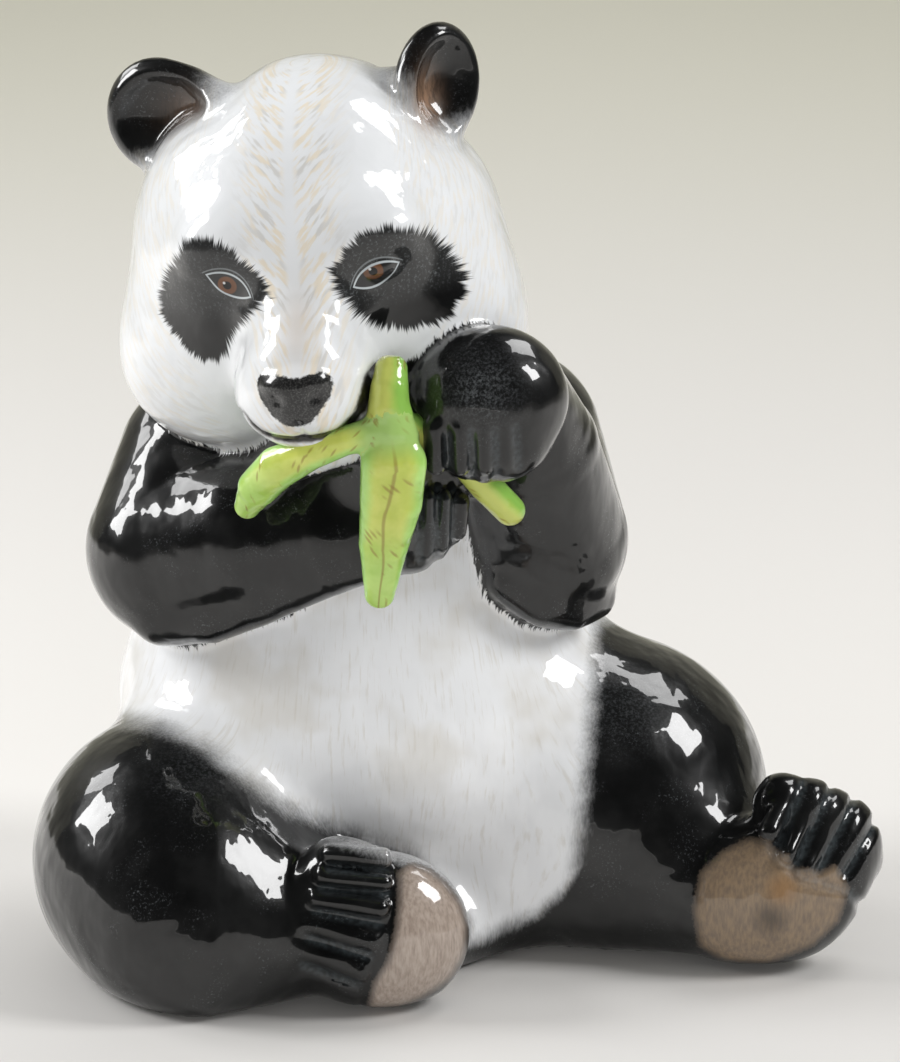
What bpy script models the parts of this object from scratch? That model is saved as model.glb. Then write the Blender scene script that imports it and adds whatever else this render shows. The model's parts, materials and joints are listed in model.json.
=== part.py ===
# A seated panda figurine with a bamboo sprig at its mouth, one solid piece of glazed ceramic.
# The forms are modelled like clay: rounded masses are kneaded together and grooves are pressed in.
import math

import bmesh
import bpy
import numpy as np

# The figure's height, in metres, from the resting face to the tip of the higher ear
FIGURE_HEIGHT = 0.250

# Every position and radius below is a share of that height, given in millimetres of a drawing this high
DRAWING_HEIGHT = 250.0

# Spacing of the sampling grid, and the triangles kept, on the drawing
GRID_STEP = 1.25
TRIANGLES = 9000

# The resting face is a flat cut; the clay rounds into it over this width
BASE_ROUNDING = 6.0
BASE_SINK = 1.0
# Points this near to the cut are moved onto it
BASE_SNAP = 0.35

# Head: centre of the skull, and how it is tipped, in degrees
HEAD_CENTRE = (-34.0, -6.0, 192.2)
HEAD_PITCH = 6.0
HEAD_LEAN = -8.0
HEAD_YAW = -8.0

# Half spacing of the paired head features, and the sizes that follow the skull
SKULL_RADII = (48.5, 50.0, 50.0)
CHEEK_SPREAD = 27.2
CHEEK_SHIFT = 1.2
EYE_SPREAD = 18.6
EYE_RADIUS = 6.0

# The face looks a little past the skull's middle: sideways shift of the eyes, and of the muzzle
EYE_SHIFT = 3.4
MUZZLE_SHIFT = 1.8

# Grooves between toes and between fingers
TOE_GROOVE = (1.5, 1.5)
FINGER_GROOVE = (1.4, 1.2)

# Marks on the body are pressed in along a line that slopes down to the back
PRESS_SLOPE = math.radians(16.0)
PRESS = (0.0, math.cos(PRESS_SLOPE), -math.sin(PRESS_SLOPE))

FAR_AWAY = 50.0
FILL_DEPTH = 0.1


def turned(pitch=0.0, lean=0.0, yaw=0.0):
    """A frame whose columns are its own axes: turned about X, then Y, then Z, in degrees."""
    a, b, c = (math.radians(v) for v in (pitch, lean, yaw))
    about_x = np.array([[1, 0, 0], [0, math.cos(a), -math.sin(a)], [0, math.sin(a), math.cos(a)]])
    about_y = np.array([[math.cos(b), 0, math.sin(b)], [0, 1, 0], [-math.sin(b), 0, math.cos(b)]])
    about_z = np.array([[math.cos(c), -math.sin(c), 0], [math.sin(c), math.cos(c), 0], [0, 0, 1]])
    return about_z @ about_y @ about_x


def melt(a, b, width):
    """Union of two fields with a fillet of that width."""
    h = np.maximum(width - np.abs(a - b), 0.0) / width
    return np.minimum(a, b) - h * h * width * 0.25


def scoop(a, b, width):
    """Field a with b taken out of it, the edge rounded over that width."""
    h = np.maximum(width - np.abs(a + b), 0.0) / width
    return np.maximum(a, -b) + h * h * width * 0.25


def nearest_on_path(points, radii, p):
    """Distance from p to the path less the path's radius, and the nearest offset vector."""
    best = None
    offset = None
    for a, b, ra, rb in zip(points, points[1:], radii, radii[1:]):
        step = b - a
        t = np.clip(((p - a) @ step) / (step @ step), 0.0, 1.0)
        away = p - a - t[..., None] * step
        d = np.linalg.norm(away, axis=-1) - (ra + (rb - ra) * t)
        if best is None:
            best, offset = d, away
        else:
            closer = d < best
            best = np.where(closer, d, best)
            offset = np.where(closer[..., None], away, offset)
    return best, offset


class Ball:
    """A rounded mass: an ellipsoid, turned by a frame."""

    def __init__(self, centre, radii, blend, frame=None):
        self.centre = np.array(centre, float)
        self.radii = np.array(radii, float)
        self.blend = blend
        self.frame = np.eye(3) if frame is None else frame

    def reach(self):
        half = np.sqrt(((self.frame * self.radii) ** 2).sum(axis=1))
        return self.centre - half, self.centre + half

    def field(self, p):
        q = (p - self.centre) @ self.frame
        n = np.linalg.norm(q / self.radii, axis=-1)
        slope = np.linalg.norm(q / self.radii**2, axis=-1)
        return n * (n - 1.0) / np.maximum(slope, 1e-6)


class Limb:
    """A roll of clay through joints of given radii; thinner than it is wide where flatness is over one."""

    def __init__(self, joints, blend, flatness=1.0):
        self.points = [np.array(j[:3], float) for j in joints]
        self.radii = [float(j[3]) for j in joints]
        self.blend = blend
        self.squash = np.array([1.0, flatness, 1.0])

    def reach(self):
        low = np.min([c - r for c, r in zip(self.points, self.radii)], axis=0)
        high = np.max([c + r for c, r in zip(self.points, self.radii)], axis=0)
        return low, high

    def field(self, p):
        points = [c * self.squash for c in self.points]
        return nearest_on_path(points, self.radii, p * self.squash)[0]


class Mark:
    """A groove along a path, pressed in to a depth; a depth below zero raises a ridge."""

    def __init__(self, path, width, depth, press=PRESS, reach=9.0):
        self.path = [np.array(c, float) for c in path]
        self.width = width
        self.depth = depth
        self.press = np.array(press, float)
        self.reach_in = reach

    def field(self, p):
        flat = np.eye(3) - np.outer(self.press, self.press)
        points = [flat @ c for c in self.path]
        d, _ = nearest_on_path(points, [0.0] * len(points), p @ flat)
        _, away = nearest_on_path(self.path, [0.0] * len(points), p)
        sunk = away @ self.press
        return self.depth * np.exp(-((d / self.width) ** 2) - (sunk / self.reach_in) ** 4)


class Dent:
    """A soft thumb print; a depth below zero is a swelling."""

    def __init__(self, centre, radii, depth, frame=None):
        self.centre = np.array(centre, float)
        self.radii = np.array(radii, float)
        self.depth = depth
        self.frame = np.eye(3) if frame is None else frame

    def field(self, p):
        q = ((p - self.centre) @ self.frame) / self.radii
        return self.depth * np.exp(-(q * q).sum(axis=-1))


class Form:
    """Masses kneaded together, hollowed and marked, then joined to the figure over its own blend."""

    def __init__(self, blend, masses, hollows=(), marks=()):
        self.blend = blend
        self.masses = masses
        self.hollows = hollows
        self.marks = marks

    def reach(self):
        low = np.min([m.reach()[0] for m in self.masses], axis=0)
        high = np.max([m.reach()[1] for m in self.masses], axis=0)
        return low, high


def head_point(x, y, z):
    return tuple(np.array(HEAD_CENTRE) + head_frame() @ np.array([x, y, z], float))


def head_frame():
    return turned(HEAD_PITCH, HEAD_LEAN, HEAD_YAW)


def trunk():
    return [
        Ball((-22.8, 22.0, 61.7), (67.2, 55.0, 52.0), 10.0),
        Ball((-23.5, 22.0, 115.4), (57.0, 44.0, 48.0), 22.0),
        Ball((-13.9, 34.0, 11.3), (72.0, 46.0, 46.0), 22.0),
        Limb([(-30.6, 10.0, 140.8, 36.0), (-31.0, 2.0, 175.5, 36.0)], 14.0),
        Limb([(-16.0, -30.0, 9.0, 16.0), (14.0, -4.0, 8.0, 14.0)], 14.0),
        Ball((-35.0, 8.0, 9.0), (58.0, 52.0, 18.0), 4.0),
        Ball((-14.0, 74.0, 26.0), (12.0, 9.0, 14.0), 8.0),
    ]


def near_leg():
    return [
        Ball((-72.6, -20.0, 28.4), (38.5, 45.0, 38.5), 11.0),
        Limb([(-64.0, -44.0, 19.0, 29.5), (-30.0, -40.0, 17.0, 18.5)], 12.0),
    ]


def far_leg():
    return [
        Ball((40.8, 14.0, 34.8), (45.5, 44.0, 44.0), 13.0),
        Limb([(51.3, 0.0, 23.3, 27.0), (76.2, -18.0, 16.9, 19.0)], 13.0),
    ]


def torso():
    return Form(1.0, trunk() + near_leg() + far_leg())


def rolls(ends, radius, blend):
    """Toes or fingers: a roll of clay between each pair of ends."""
    return [Limb([(*a, radius), (*b, radius - 0.3)], blend) for a, b in ends]


def grooves(ends, size, reach=9.0):
    return [Mark(pair, size[0], size[1], reach=reach) for pair in ends]


def near_foot():
    """The foot turned up in front: a domed pad, with five toes folded across it from the side."""
    toes = [
        [(-30.5, -58.0, 43.0), (-17.5, -62.0, 42.6)],
        [(-32.0, -60.0, 37.6), (-16.8, -64.5, 37.4)],
        [(-33.6, -61.0, 31.6), (-17.6, -66.0, 31.0)],
        [(-34.6, -61.5, 24.6), (-20.5, -66.5, 22.4)],
        [(-36.5, -60.5, 17.0), (-22.5, -65.5, 13.0)],
    ]
    between = [
        [(-31.0, -61.0, 40.0), (-16.5, -65.0, 40.2)],
        [(-33.0, -62.0, 34.6), (-16.5, -66.0, 34.4)],
        [(-34.6, -62.0, 28.4), (-18.5, -67.0, 26.8)],
        [(-36.4, -62.0, 21.0), (-21.0, -67.0, 18.0)],
        [(-38.0, -60.0, 13.0), (-24.0, -64.0, 9.2)],
    ]
    sole_edge = [
        (-13.5, -60.0, 42.0),
        (-14.4, -65.0, 32.0),
        (-16.0, -69.0, 22.0),
        (-20.5, -69.0, 12.0),
        (-23.0, -66.0, 3.0),
    ]
    rim = [
        (-20.0, -56.0, 47.5),
        (-34.0, -55.0, 46.0),
        (-42.0, -54.0, 37.0),
        (-44.5, -53.0, 24.0),
        (-43.0, -52.0, 10.0),
    ]
    return Form(
        4.0,
        [
            Ball((-18.4, -52.0, 19.0), (23.5, 16.5, 22.0), 5.0),
            Ball((-29.0, -52.0, 24.5), (15.5, 11.6, 22.5), 3.0),
            *rolls(toes, 3.6, 1.0),
        ],
        marks=grooves(between, TOE_GROOVE) + [Mark(sole_edge, 1.6, 1.3), Mark(rim, 2.0, 1.7, reach=14.0)],
    )


def far_foot():
    """The foot that faces forward: a broad sole, its toes curled over the upper edge."""
    toes = [
        [(90.0, -24.5, 46.4), (84.4, -35.0, 40.6)],
        [(94.8, -25.0, 43.0), (89.0, -35.5, 34.6)],
        [(100.8, -22.5, 39.6), (94.2, -34.5, 30.8)],
        [(106.0, -19.0, 34.8), (100.6, -31.5, 28.6)],
        [(111.2, -15.5, 29.2), (106.8, -27.0, 24.6)],
    ]
    between = [
        [(93.2, -22.0, 49.6), (86.6, -36.0, 37.6)],
        [(100.3, -20.0, 47.1), (91.3, -36.0, 32.7)],
        [(106.8, -16.0, 43.0), (97.0, -34.0, 29.8)],
        [(112.6, -12.0, 36.1), (104.0, -30.0, 27.6)],
    ]
    toe_ends = [
        (83.0, -38.0, 38.4),
        (87.4, -39.0, 33.2),
        (92.4, -38.0, 28.4),
        (99.0, -36.0, 26.0),
        (106.0, -32.0, 22.6),
        (110.0, -27.0, 16.0),
    ]
    ankle = [
        (80.5, -22.0, 51.0),
        (72.0, -26.0, 42.0),
        (67.0, -28.0, 32.5),
        (64.0, -28.0, 20.7),
        (66.0, -26.0, 7.8),
    ]
    return Form(
        3.5,
        [
            Ball((83.8, -25.5, 19.6), (24.0, 14.0, 19.4), 5.0),
            Ball((98.4, -20.0, 31.6), (16.5, 12.0, 15.0), 12.0),
            Limb(
                [
                    (88.0, -22.5, 44.6, 8.0),
                    (95.5, -22.5, 42.2, 8.8),
                    (104.0, -19.5, 36.4, 8.8),
                    (108.6, -16.5, 27.0, 7.0),
                ],
                2.5,
            ),
            *rolls(toes, 3.9, 1.4),
        ],
        marks=grooves(between, TOE_GROOVE, 14.0) + [Mark(toe_ends, 1.5, 1.1), Mark(ankle, 2.0, 1.3)],
    )


def resting_arm():
    """The arm laid across the chest, its paw curled at the end."""
    fingers = [
        [(-9.6, -48.0, 135.0), (-10.2, -47.5, 122.8)],
        [(-5.4, -48.5, 136.0), (-6.0, -47.8, 121.8)],
        [(-1.2, -48.0, 135.6), (-1.8, -46.8, 123.0)],
        [(2.2, -45.6, 133.8), (1.6, -45.0, 126.0)],
    ]
    between = [
        [(-7.6, -52.0, 138.0), (-8.0, -50.0, 119.5)],
        [(-3.3, -52.0, 139.0), (-3.9, -49.0, 118.0)],
        [(0.6, -50.0, 138.0), (0.2, -48.0, 120.5)],
    ]
    return Form(
        4.0,
        [
            Limb(
                [
                    (-65.2, 8.0, 130.4, 23.0),
                    (-71.4, -6.0, 110.0, 25.0),
                    (-51.0, -20.0, 117.5, 21.5),
                    (-29.8, -33.0, 123.5, 15.5),
                    (-11.6, -40.0, 125.3, 12.0),
                ],
                5.0,
            ),
            Ball((-5.2, -40.0, 128.4), (9.6, 9.6, 10.4), 4.0),
            Limb([(-38.0, -28.0, 136.0, 12.0), (-14.0, -42.0, 143.0, 11.0)], 7.0),
            Limb(
                [
                    (-76.0, -18.0, 92.5, 4.5),
                    (-62.0, -27.0, 95.0, 4.5),
                    (-50.0, -33.0, 101.0, 4.0),
                    (-37.0, -38.0, 108.5, 4.0),
                    (-22.0, -44.0, 116.5, 3.5),
                ],
                6.0,
            ),
            *rolls(fingers, 3.0, 1.0),
        ],
        marks=grooves(between, FINGER_GROOVE),
    )


def raised_arm():
    """The arm bent up beside the cheek, its paw closed round the stalk."""
    fingers = [
        [(-3.6, -59.0, 157.0), (-3.2, -58.0, 147.6)],
        [(2.4, -60.5, 157.0), (2.6, -59.5, 147.8)],
        [(8.4, -61.0, 157.0), (8.8, -60.0, 148.4)],
        [(14.0, -60.0, 157.5), (14.2, -58.5, 150.2)],
        [(19.2, -57.0, 159.0), (19.6, -55.0, 153.6)],
    ]
    between = [
        [(-0.6, -66.0, 157.0), (-0.2, -62.0, 143.5)],
        [(5.4, -66.0, 158.0), (5.7, -62.0, 143.0)],
        [(11.2, -66.0, 158.0), (11.6, -61.0, 144.0)],
        [(16.6, -64.0, 158.5), (17.2, -59.0, 147.0)],
    ]
    return Form(
        3.0,
        [
            Limb(
                [
                    (15.5, 16.0, 133.7, 25.0),
                    (24.4, 0.0, 111.1, 23.0),
                    (21.5, -20.0, 141.2, 17.5),
                    (16.0, -34.0, 160.0, 14.0),
                ],
                6.0,
            ),
            Limb(
                [
                    (15.0, -18.0, 103.5, 4.0),
                    (24.7, -16.0, 96.0, 4.0),
                    (32.5, -10.0, 93.0, 4.0),
                    (39.0, -1.0, 94.0, 4.5),
                ],
                6.0,
            ),
            Ball((10.0, -47.5, 161.8), (20.2, 17.5, 18.9), 2.0),
            Ball((10.0, -51.0, 150.0), (14.0, 11.0, 9.0), 5.0),
            Ball((-10.0, -43.0, 158.0), (11.0, 10.0, 14.0), 3.0),
            Ball((-4.0, -24.0, 144.0), (18.0, 22.0, 16.0), 4.0),
            Ball((9.0, -6.0, 152.0), (15.0, 15.0, 14.0), 6.0),
            *rolls(fingers, 3.5, 1.2),
        ],
        marks=grooves(between, FINGER_GROOVE),
    )


def mouth_path():
    return [
        head_point(-14.6, -59.5, -24.0),
        head_point(-10.1, -62.1, -28.2),
        head_point(-0.1, -65.4, -29.7),
        head_point(9.7, -62.0, -29.7),
        head_point(15.2, -58.5, -26.0),
        head_point(17.9, -51.0, -18.6),
    ]


def head():
    frame = head_frame()
    forward = tuple(frame @ np.array([0.0, 1.0, 0.0]))

    def face(x, y, z):
        return head_point(x + EYE_SHIFT, y, z)

    def snout(x, y, z):
        return head_point(x + MUZZLE_SHIFT, y, z)

    masses = [Ball(HEAD_CENTRE, SKULL_RADII, 4.0, frame)]
    marks = []
    for side in (-1.0, 1.0):
        cheek = head_point(side * CHEEK_SPREAD - CHEEK_SHIFT, -9.0, -21.5)
        masses.append(Ball(cheek, (26.5, 27.0, 25.5), 12.0, frame))
        masses.append(Ball(face(side * 16.0, -38.0, 15.5), (13.0, 9.0, 8.0), 12.0, frame))
        marks.append(Dent(face(side * 18.0, -48.0, 5.0), (10.0, 12.0, 7.5), 1.6, frame))
        marks.append(Dent(face(side * 21.0, -46.0, -8.0), (6.0, 10.0, 8.0), 1.0, frame))
    masses.append(Limb([(*face(0.0, -41.0, 2.0), 12.0), (*snout(0.0, -56.0, -12.0), 12.5)], 12.0))
    masses.append(Ball(snout(-1.0, -50.0, -21.0), (18.2, 20.0, 14.5), 8.0, frame))
    masses.append(Ball(snout(0.0, -42.0, -30.0), (12.0, 16.0, 7.0), 5.0, frame))
    marks.append(Dent(head_point(37.0, 2.0, 31.0), (17.0, 40.0, 16.0), 3.6, frame))
    marks.append(Dent(head_point(-20.0, 2.0, 44.0), (12.0, 40.0, 12.0), 3.2, frame))
    masses.append(Ball(snout(0.0, -67.5, -13.8), (8.6, 5.0, 4.6), 2.0, frame))
    masses.append(Ball(snout(0.0, -67.0, -19.0), (5.0, 4.8, 5.8), 4.0, frame))
    for side in (-1.0, 1.0):
        eye = face(side * EYE_SPREAD, -42.4, 6.6)
        masses.append(Ball(eye, (EYE_RADIUS, EYE_RADIUS, EYE_RADIUS - 1.5), 2.0, frame))
        marks.append(Dent(snout(side * 4.8, -71.0, -16.5), (1.8, 4.0, 1.6), 1.1, frame))
    marks.append(Mark(mouth_path(), 1.6, 1.6, forward))
    marks.append(Mark([head_point(1.4, -71.0, -23.5), head_point(0.8, -68.0, -29.0)], 1.2, 1.2, forward))
    return Form(3.0, masses, marks=marks)


def ear(centre, frame, radii, bowl_depth, bowl_shift, ramp):
    """A rounded ear, hollowed from the front into a thin-rimmed bowl, with a ramp of clay to the crown."""
    wall = 2.8
    bowl_centre = tuple(np.array(centre) + frame @ np.array([bowl_shift, -bowl_depth, 0.0]))
    bowl_radii = (radii[0] - wall + abs(bowl_shift), bowl_depth + 1.5, radii[2] - wall)
    bowl = Ball(bowl_centre, bowl_radii, 2.0, frame)
    root = tuple(0.72 * np.array(centre) + 0.28 * np.array(HEAD_CENTRE))
    return Form(
        3.0,
        [
            Ball(centre, radii, 3.0, frame),
            Limb([(*centre, 4.5), (*root, 9.0)], 4.0),
            Limb(ramp, 4.0),
        ],
        hollows=[bowl],
    )


def ears():
    frame = head_frame()
    near_frame = frame @ turned(-8.0, 0.0, -14.0)
    far_frame = frame @ turned(-5.0, 24.0, 46.0)
    near_ramp = [(-67.0, -3.0, 229.5, 8.6), (-56.5, -9.0, 226.0, 8.6)]
    far_ramp = [(-8.0, -5.0, 236.0, 6.0), (-13.5, -6.0, 230.5, 9.0), (-5.0, -8.0, 222.0, 7.0)]
    return [
        ear(head_point(-36.5, 4.0, 38.5), near_frame, (15.2, 6.2, 15.4), 7.5, 2.5, near_ramp),
        ear(head_point(36.6, 4.0, 38.4), far_frame, (13.2, 6.6, 16.4), 7.5, 0.0, far_ramp),
    ]


def stalk_path():
    return [
        (-14.8, -58.5, 172.0, 4.2),
        (-15.2, -61.0, 168.0, 4.9),
        (-15.4, -62.0, 163.5, 5.3),
        (-14.8, -62.0, 157.5, 5.7),
        (-5.0, -49.0, 152.5, 4.6),
        (2.5, -46.0, 146.6, 4.3),
        (9.0, -44.5, 138.0, 4.2),
        (15.4, -42.0, 130.6, 4.0),
    ]


def stalk_cut():
    """What is taken off the stalk's upper end to leave it flat."""
    return [Ball((-14.8, -57.0, 182.5), (9.0, 9.0, 7.0), 0.8)]


def leaf_paths():
    """The hanging leaf and the side leaf, from the joint to the tip."""
    hanging = [
        (-15.0, -62.5, 160.0, 5.4),
        (-14.7, -63.5, 154.5, 6.8),
        (-14.2, -64.0, 149.0, 8.4),
        (-14.9, -61.5, 138.5, 8.0),
        (-16.8, -58.5, 126.5, 6.4),
        (-18.0, -53.5, 111.6, 3.9),
    ]
    side = [
        (-16.0, -62.5, 157.5, 4.5),
        (-26.4, -64.0, 155.0, 3.8),
        (-35.3, -61.5, 151.3, 4.6),
        (-43.6, -56.5, 146.0, 5.6),
        (-48.9, -51.5, 139.4, 5.2),
        (-51.8, -47.5, 133.3, 3.4),
    ]
    return hanging, side


def sprig_masses():
    hanging, side = leaf_paths()
    return [Limb(stalk_path(), 3.0), Limb(side, 2.0, 1.3), Limb(hanging, 2.0, 1.7)]


def sprig_beds():
    """Clay behind the leaves that joins them to the arm."""
    behind_hanging = [
        (-15.0, -53.0, 156.0, 7.5),
        (-14.5, -53.0, 138.0, 6.5),
        (-15.7, -51.0, 124.0, 5.0),
        (-16.9, -46.5, 115.5, 3.0),
    ]
    behind_side = [
        (-17.0, -52.0, 153.0, 6.0),
        (-30.0, -51.0, 149.5, 5.0),
        (-42.0, -46.0, 143.0, 4.5),
        (-49.0, -41.0, 135.0, 3.0),
    ]
    return [Limb(behind_hanging, 3.0), Limb(behind_side, 3.0)]


def bamboo():
    """A sprig: the stalk from the mouth runs behind the paw, with two leaves from its joint."""
    return Form(2.5, sprig_beds() + sprig_masses(), hollows=stalk_cut())


def figure_forms():
    return [torso(), near_foot(), far_foot(), resting_arm(), raised_arm(), head(), *ears(), bamboo()]


class Grid:
    """The block of space that is sampled, with the field's value at every point of it."""

    def __init__(self, low, high, step):
        self.low = low
        self.step = step
        self.counts = np.ceil((high - low) / step).astype(int) + 1
        self.axes = [low[i] + step * np.arange(self.counts[i]) for i in range(3)]
        self.values = np.full(self.counts, FAR_AWAY)

    def window(self, reach, margin):
        low, high = reach
        first = np.maximum(np.floor((low - margin - self.low) / self.step).astype(int), 0)
        last = np.minimum(np.ceil((high + margin - self.low) / self.step).astype(int) + 1, self.counts)
        return tuple(slice(first[i], last[i]) for i in range(3))

    def points(self, window):
        return np.stack(np.meshgrid(*[self.axes[i][window[i]] for i in range(3)], indexing="ij"), axis=-1)


def inner_window(outer, inner):
    """The inner window as seen from the outer one."""
    pairs = zip(outer, inner)
    return tuple(slice(max(b.start, a.start) - a.start, min(b.stop, a.stop) - a.start) for a, b in pairs)


def sampled(forms, step):
    """Grid of the forms' joined field: below zero in the clay."""
    low = np.min([f.reach()[0] for f in forms], axis=0) - 4.0 * step
    high = np.max([f.reach()[1] for f in forms], axis=0) + 4.0 * step
    low[2] = -BASE_SINK - BASE_ROUNDING
    grid = Grid(low, high, step)
    for form in forms:
        window = grid.window(form.reach(), form.blend + 2.0 * step)
        points = grid.points(window)
        clay = np.full(points.shape[:3], FAR_AWAY)
        for mass in form.masses:
            part = inner_window(window, grid.window(mass.reach(), mass.blend + 2.0 * step))
            clay[part] = melt(clay[part], mass.field(points[part]), mass.blend)
        for hollow in form.hollows:
            clay = scoop(clay, hollow.field(points), hollow.blend)
        for mark in form.marks:
            clay = clay + mark.field(points)
        grid.values[window] = melt(grid.values[window], clay, form.blend)
    depth = -(grid.axes[2] + BASE_SINK)[None, None, :]
    grid.values = scoop(grid.values, -np.broadcast_to(depth, grid.values.shape), BASE_ROUNDING)
    return grid


def corner_view(block, corner):
    """The block seen from one corner of every grid cell."""
    return block[tuple(slice(c, n - 1 + c) for c, n in zip(corner, block.shape))]


def without_pinches(values):
    """Fills the places where the clay would meet itself only along an edge or at a point of the grid."""
    corners = [(i, j, k) for i in (0, 1) for j in (0, 1) for k in (0, 1)]
    squares = []
    for axis in range(3):
        for level in (0, 1):
            squares.append([c for c in corners if c[axis] == level])
    for _ in range(12):
        inside = values < 0.0
        fill = np.zeros(values.shape, bool)
        for square in squares:
            a, b, c, d = (corner_view(inside, corner) for corner in square)
            crossed = (a & d & ~b & ~c) | (b & c & ~a & ~d)
            for corner in square:
                corner_view(fill, corner)[crossed] = True
        count = sum(corner_view(inside, corner).astype(int) for corner in corners)
        for first in corners[:4]:
            last = tuple(1 - c for c in first)
            a, b = corner_view(inside, first), corner_view(inside, last)
            lone = (a & b & (count == 2)) | (~a & ~b & (count == 6))
            corner_view(fill, first)[lone] = True
            corner_view(fill, last)[lone] = True
            beside = (1 - first[0], first[1], first[2])
            corner_view(fill, beside)[a & b & (count == 2)] = True
        fill &= ~inside
        if not fill.any():
            break
        values[fill] = -FILL_DEPTH
    return values


def skin(grid):
    """Points and four-sided faces of the clay's surface, one point in each grid cell that it crosses."""
    values = without_pinches(grid.values)
    inside = values < 0.0
    corners = [(i, j, k) for i in (0, 1) for j in (0, 1) for k in (0, 1)]
    nx, ny, nz = values.shape
    count = sum(inside[i : nx - 1 + i, j : ny - 1 + j, k : nz - 1 + k].astype(int) for i, j, k in corners)
    crossed = (count > 0) & (count < len(corners))
    cells = np.argwhere(crossed)
    number = np.full(crossed.shape, -1)
    number[crossed] = np.arange(len(cells))
    total = np.zeros((len(cells), 3))
    found = np.zeros(len(cells))
    at_corner = {c: values[cells[:, 0] + c[0], cells[:, 1] + c[1], cells[:, 2] + c[2]] for c in corners}
    for start in corners:
        for axis in range(3):
            if start[axis] == 1:
                continue
            end = tuple(1 if i == axis else start[i] for i in range(3))
            a, b = at_corner[start], at_corner[end]
            cut = (a < 0.0) != (b < 0.0)
            place = np.tile(np.array(start, float), (len(cells), 1))
            place[:, axis] = a / np.where(cut, a - b, 1.0)
            total[cut] += place[cut]
            found[cut] += 1.0
    points = grid.low + grid.step * (cells + total / found[:, None])
    faces = []
    for axis in range(3):
        u, v = (axis + 1) % 3, (axis + 2) % 3
        first = np.take(inside, range(0, inside.shape[axis] - 1), axis=axis)
        second = np.take(inside, range(1, inside.shape[axis]), axis=axis)
        edges = np.argwhere(first != second)
        within = (edges[:, u] > 0) & (edges[:, v] > 0)
        within &= (edges[:, u] < inside.shape[u] - 1) & (edges[:, v] < inside.shape[v] - 1)
        edges = edges[within]
        backward = ~first[tuple(edges.T)]
        ring = []
        for du, dv in ((1, 1), (0, 1), (0, 0), (1, 0)):
            cell = edges.copy()
            cell[:, u] -= du
            cell[:, v] -= dv
            ring.append(number[tuple(cell.T)])
        quads = np.stack(ring, axis=1)
        quads[backward] = quads[backward][:, ::-1]
        faces.append(quads)
    return points, np.concatenate(faces)


def new_object(name, points, faces):
    mesh = bpy.data.meshes.new(name)
    mesh.from_pydata(points.tolist(), [], faces.tolist())
    figure = bpy.data.objects.new(name, mesh)
    bpy.context.scene.collection.objects.link(figure)
    return figure


def apply_modifiers(figure):
    graph = bpy.context.evaluated_depsgraph_get()
    figure.data = bpy.data.meshes.new_from_object(figure.evaluated_get(graph))
    figure.modifiers.clear()


def simplify(figure, triangles):
    """Fewer triangles, kept closest where the form turns tightly."""
    now = sum(len(p.vertices) - 2 for p in figure.data.polygons)
    thin = figure.modifiers.new("simplify", "DECIMATE")
    thin.ratio = triangles / now
    thin.use_collapse_triangulate = True
    apply_modifiers(figure)


def cut_base(figure, scale):
    """A flat resting face at height zero."""
    work = bmesh.new()
    work.from_mesh(figure.data)
    for vertex in work.verts:
        if abs(vertex.co.z) < BASE_SNAP * scale:
            vertex.co.z = 0.0
    everything = work.verts[:] + work.edges[:] + work.faces[:]
    cut = bmesh.ops.bisect_plane(
        work, geom=everything, dist=1e-6, plane_co=(0, 0, 0), plane_no=(0, 0, 1), clear_inner=True
    )
    rim = [e for e in cut["geom_cut"] if isinstance(e, bmesh.types.BMEdge)]
    rim = [e for e in rim if e.is_valid and e.is_boundary]
    bmesh.ops.edgeloop_fill(work, edges=rim)
    bmesh.ops.triangulate(work, faces=[f for f in work.faces if len(f.verts) > 3])
    bmesh.ops.recalc_face_normals(work, faces=work.faces)
    for face in work.faces:
        face.smooth = face.normal.z > -0.999
    work.to_mesh(figure.data)
    work.free()


def stand_at_origin(figure):
    """The height comes out exact, and the middle of the width and depth stands over the origin."""
    points = np.array([v.co for v in figure.data.vertices])
    low, high = points.min(axis=0), points.max(axis=0)
    middle = (low + high) / 2.0
    middle[2] = low[2]
    factor = FIGURE_HEIGHT / (high[2] - low[2])
    for vertex, point in zip(figure.data.vertices, (points - middle) * factor):
        vertex.co = point


def glaze():
    material = bpy.data.materials.new("glazed_ceramic")
    material.use_nodes = True
    surface = material.node_tree.nodes["Principled BSDF"]
    surface.inputs["Base Color"].default_value = (0.78, 0.79, 0.80, 1.0)
    surface.inputs["Roughness"].default_value = 0.12
    surface.inputs["Metallic"].default_value = 0.0
    return material


for old in list(bpy.data.objects):
    bpy.data.objects.remove(old)

SCALE = FIGURE_HEIGHT / DRAWING_HEIGHT
surface_points, surface_faces = skin(sampled(figure_forms(), GRID_STEP))
panda = new_object("panda_figurine", surface_points * SCALE, surface_faces)
simplify(panda, TRIANGLES)
cut_base(panda, SCALE)
stand_at_origin(panda)
panda.data.materials.append(glaze())
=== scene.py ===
import json
import math

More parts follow.
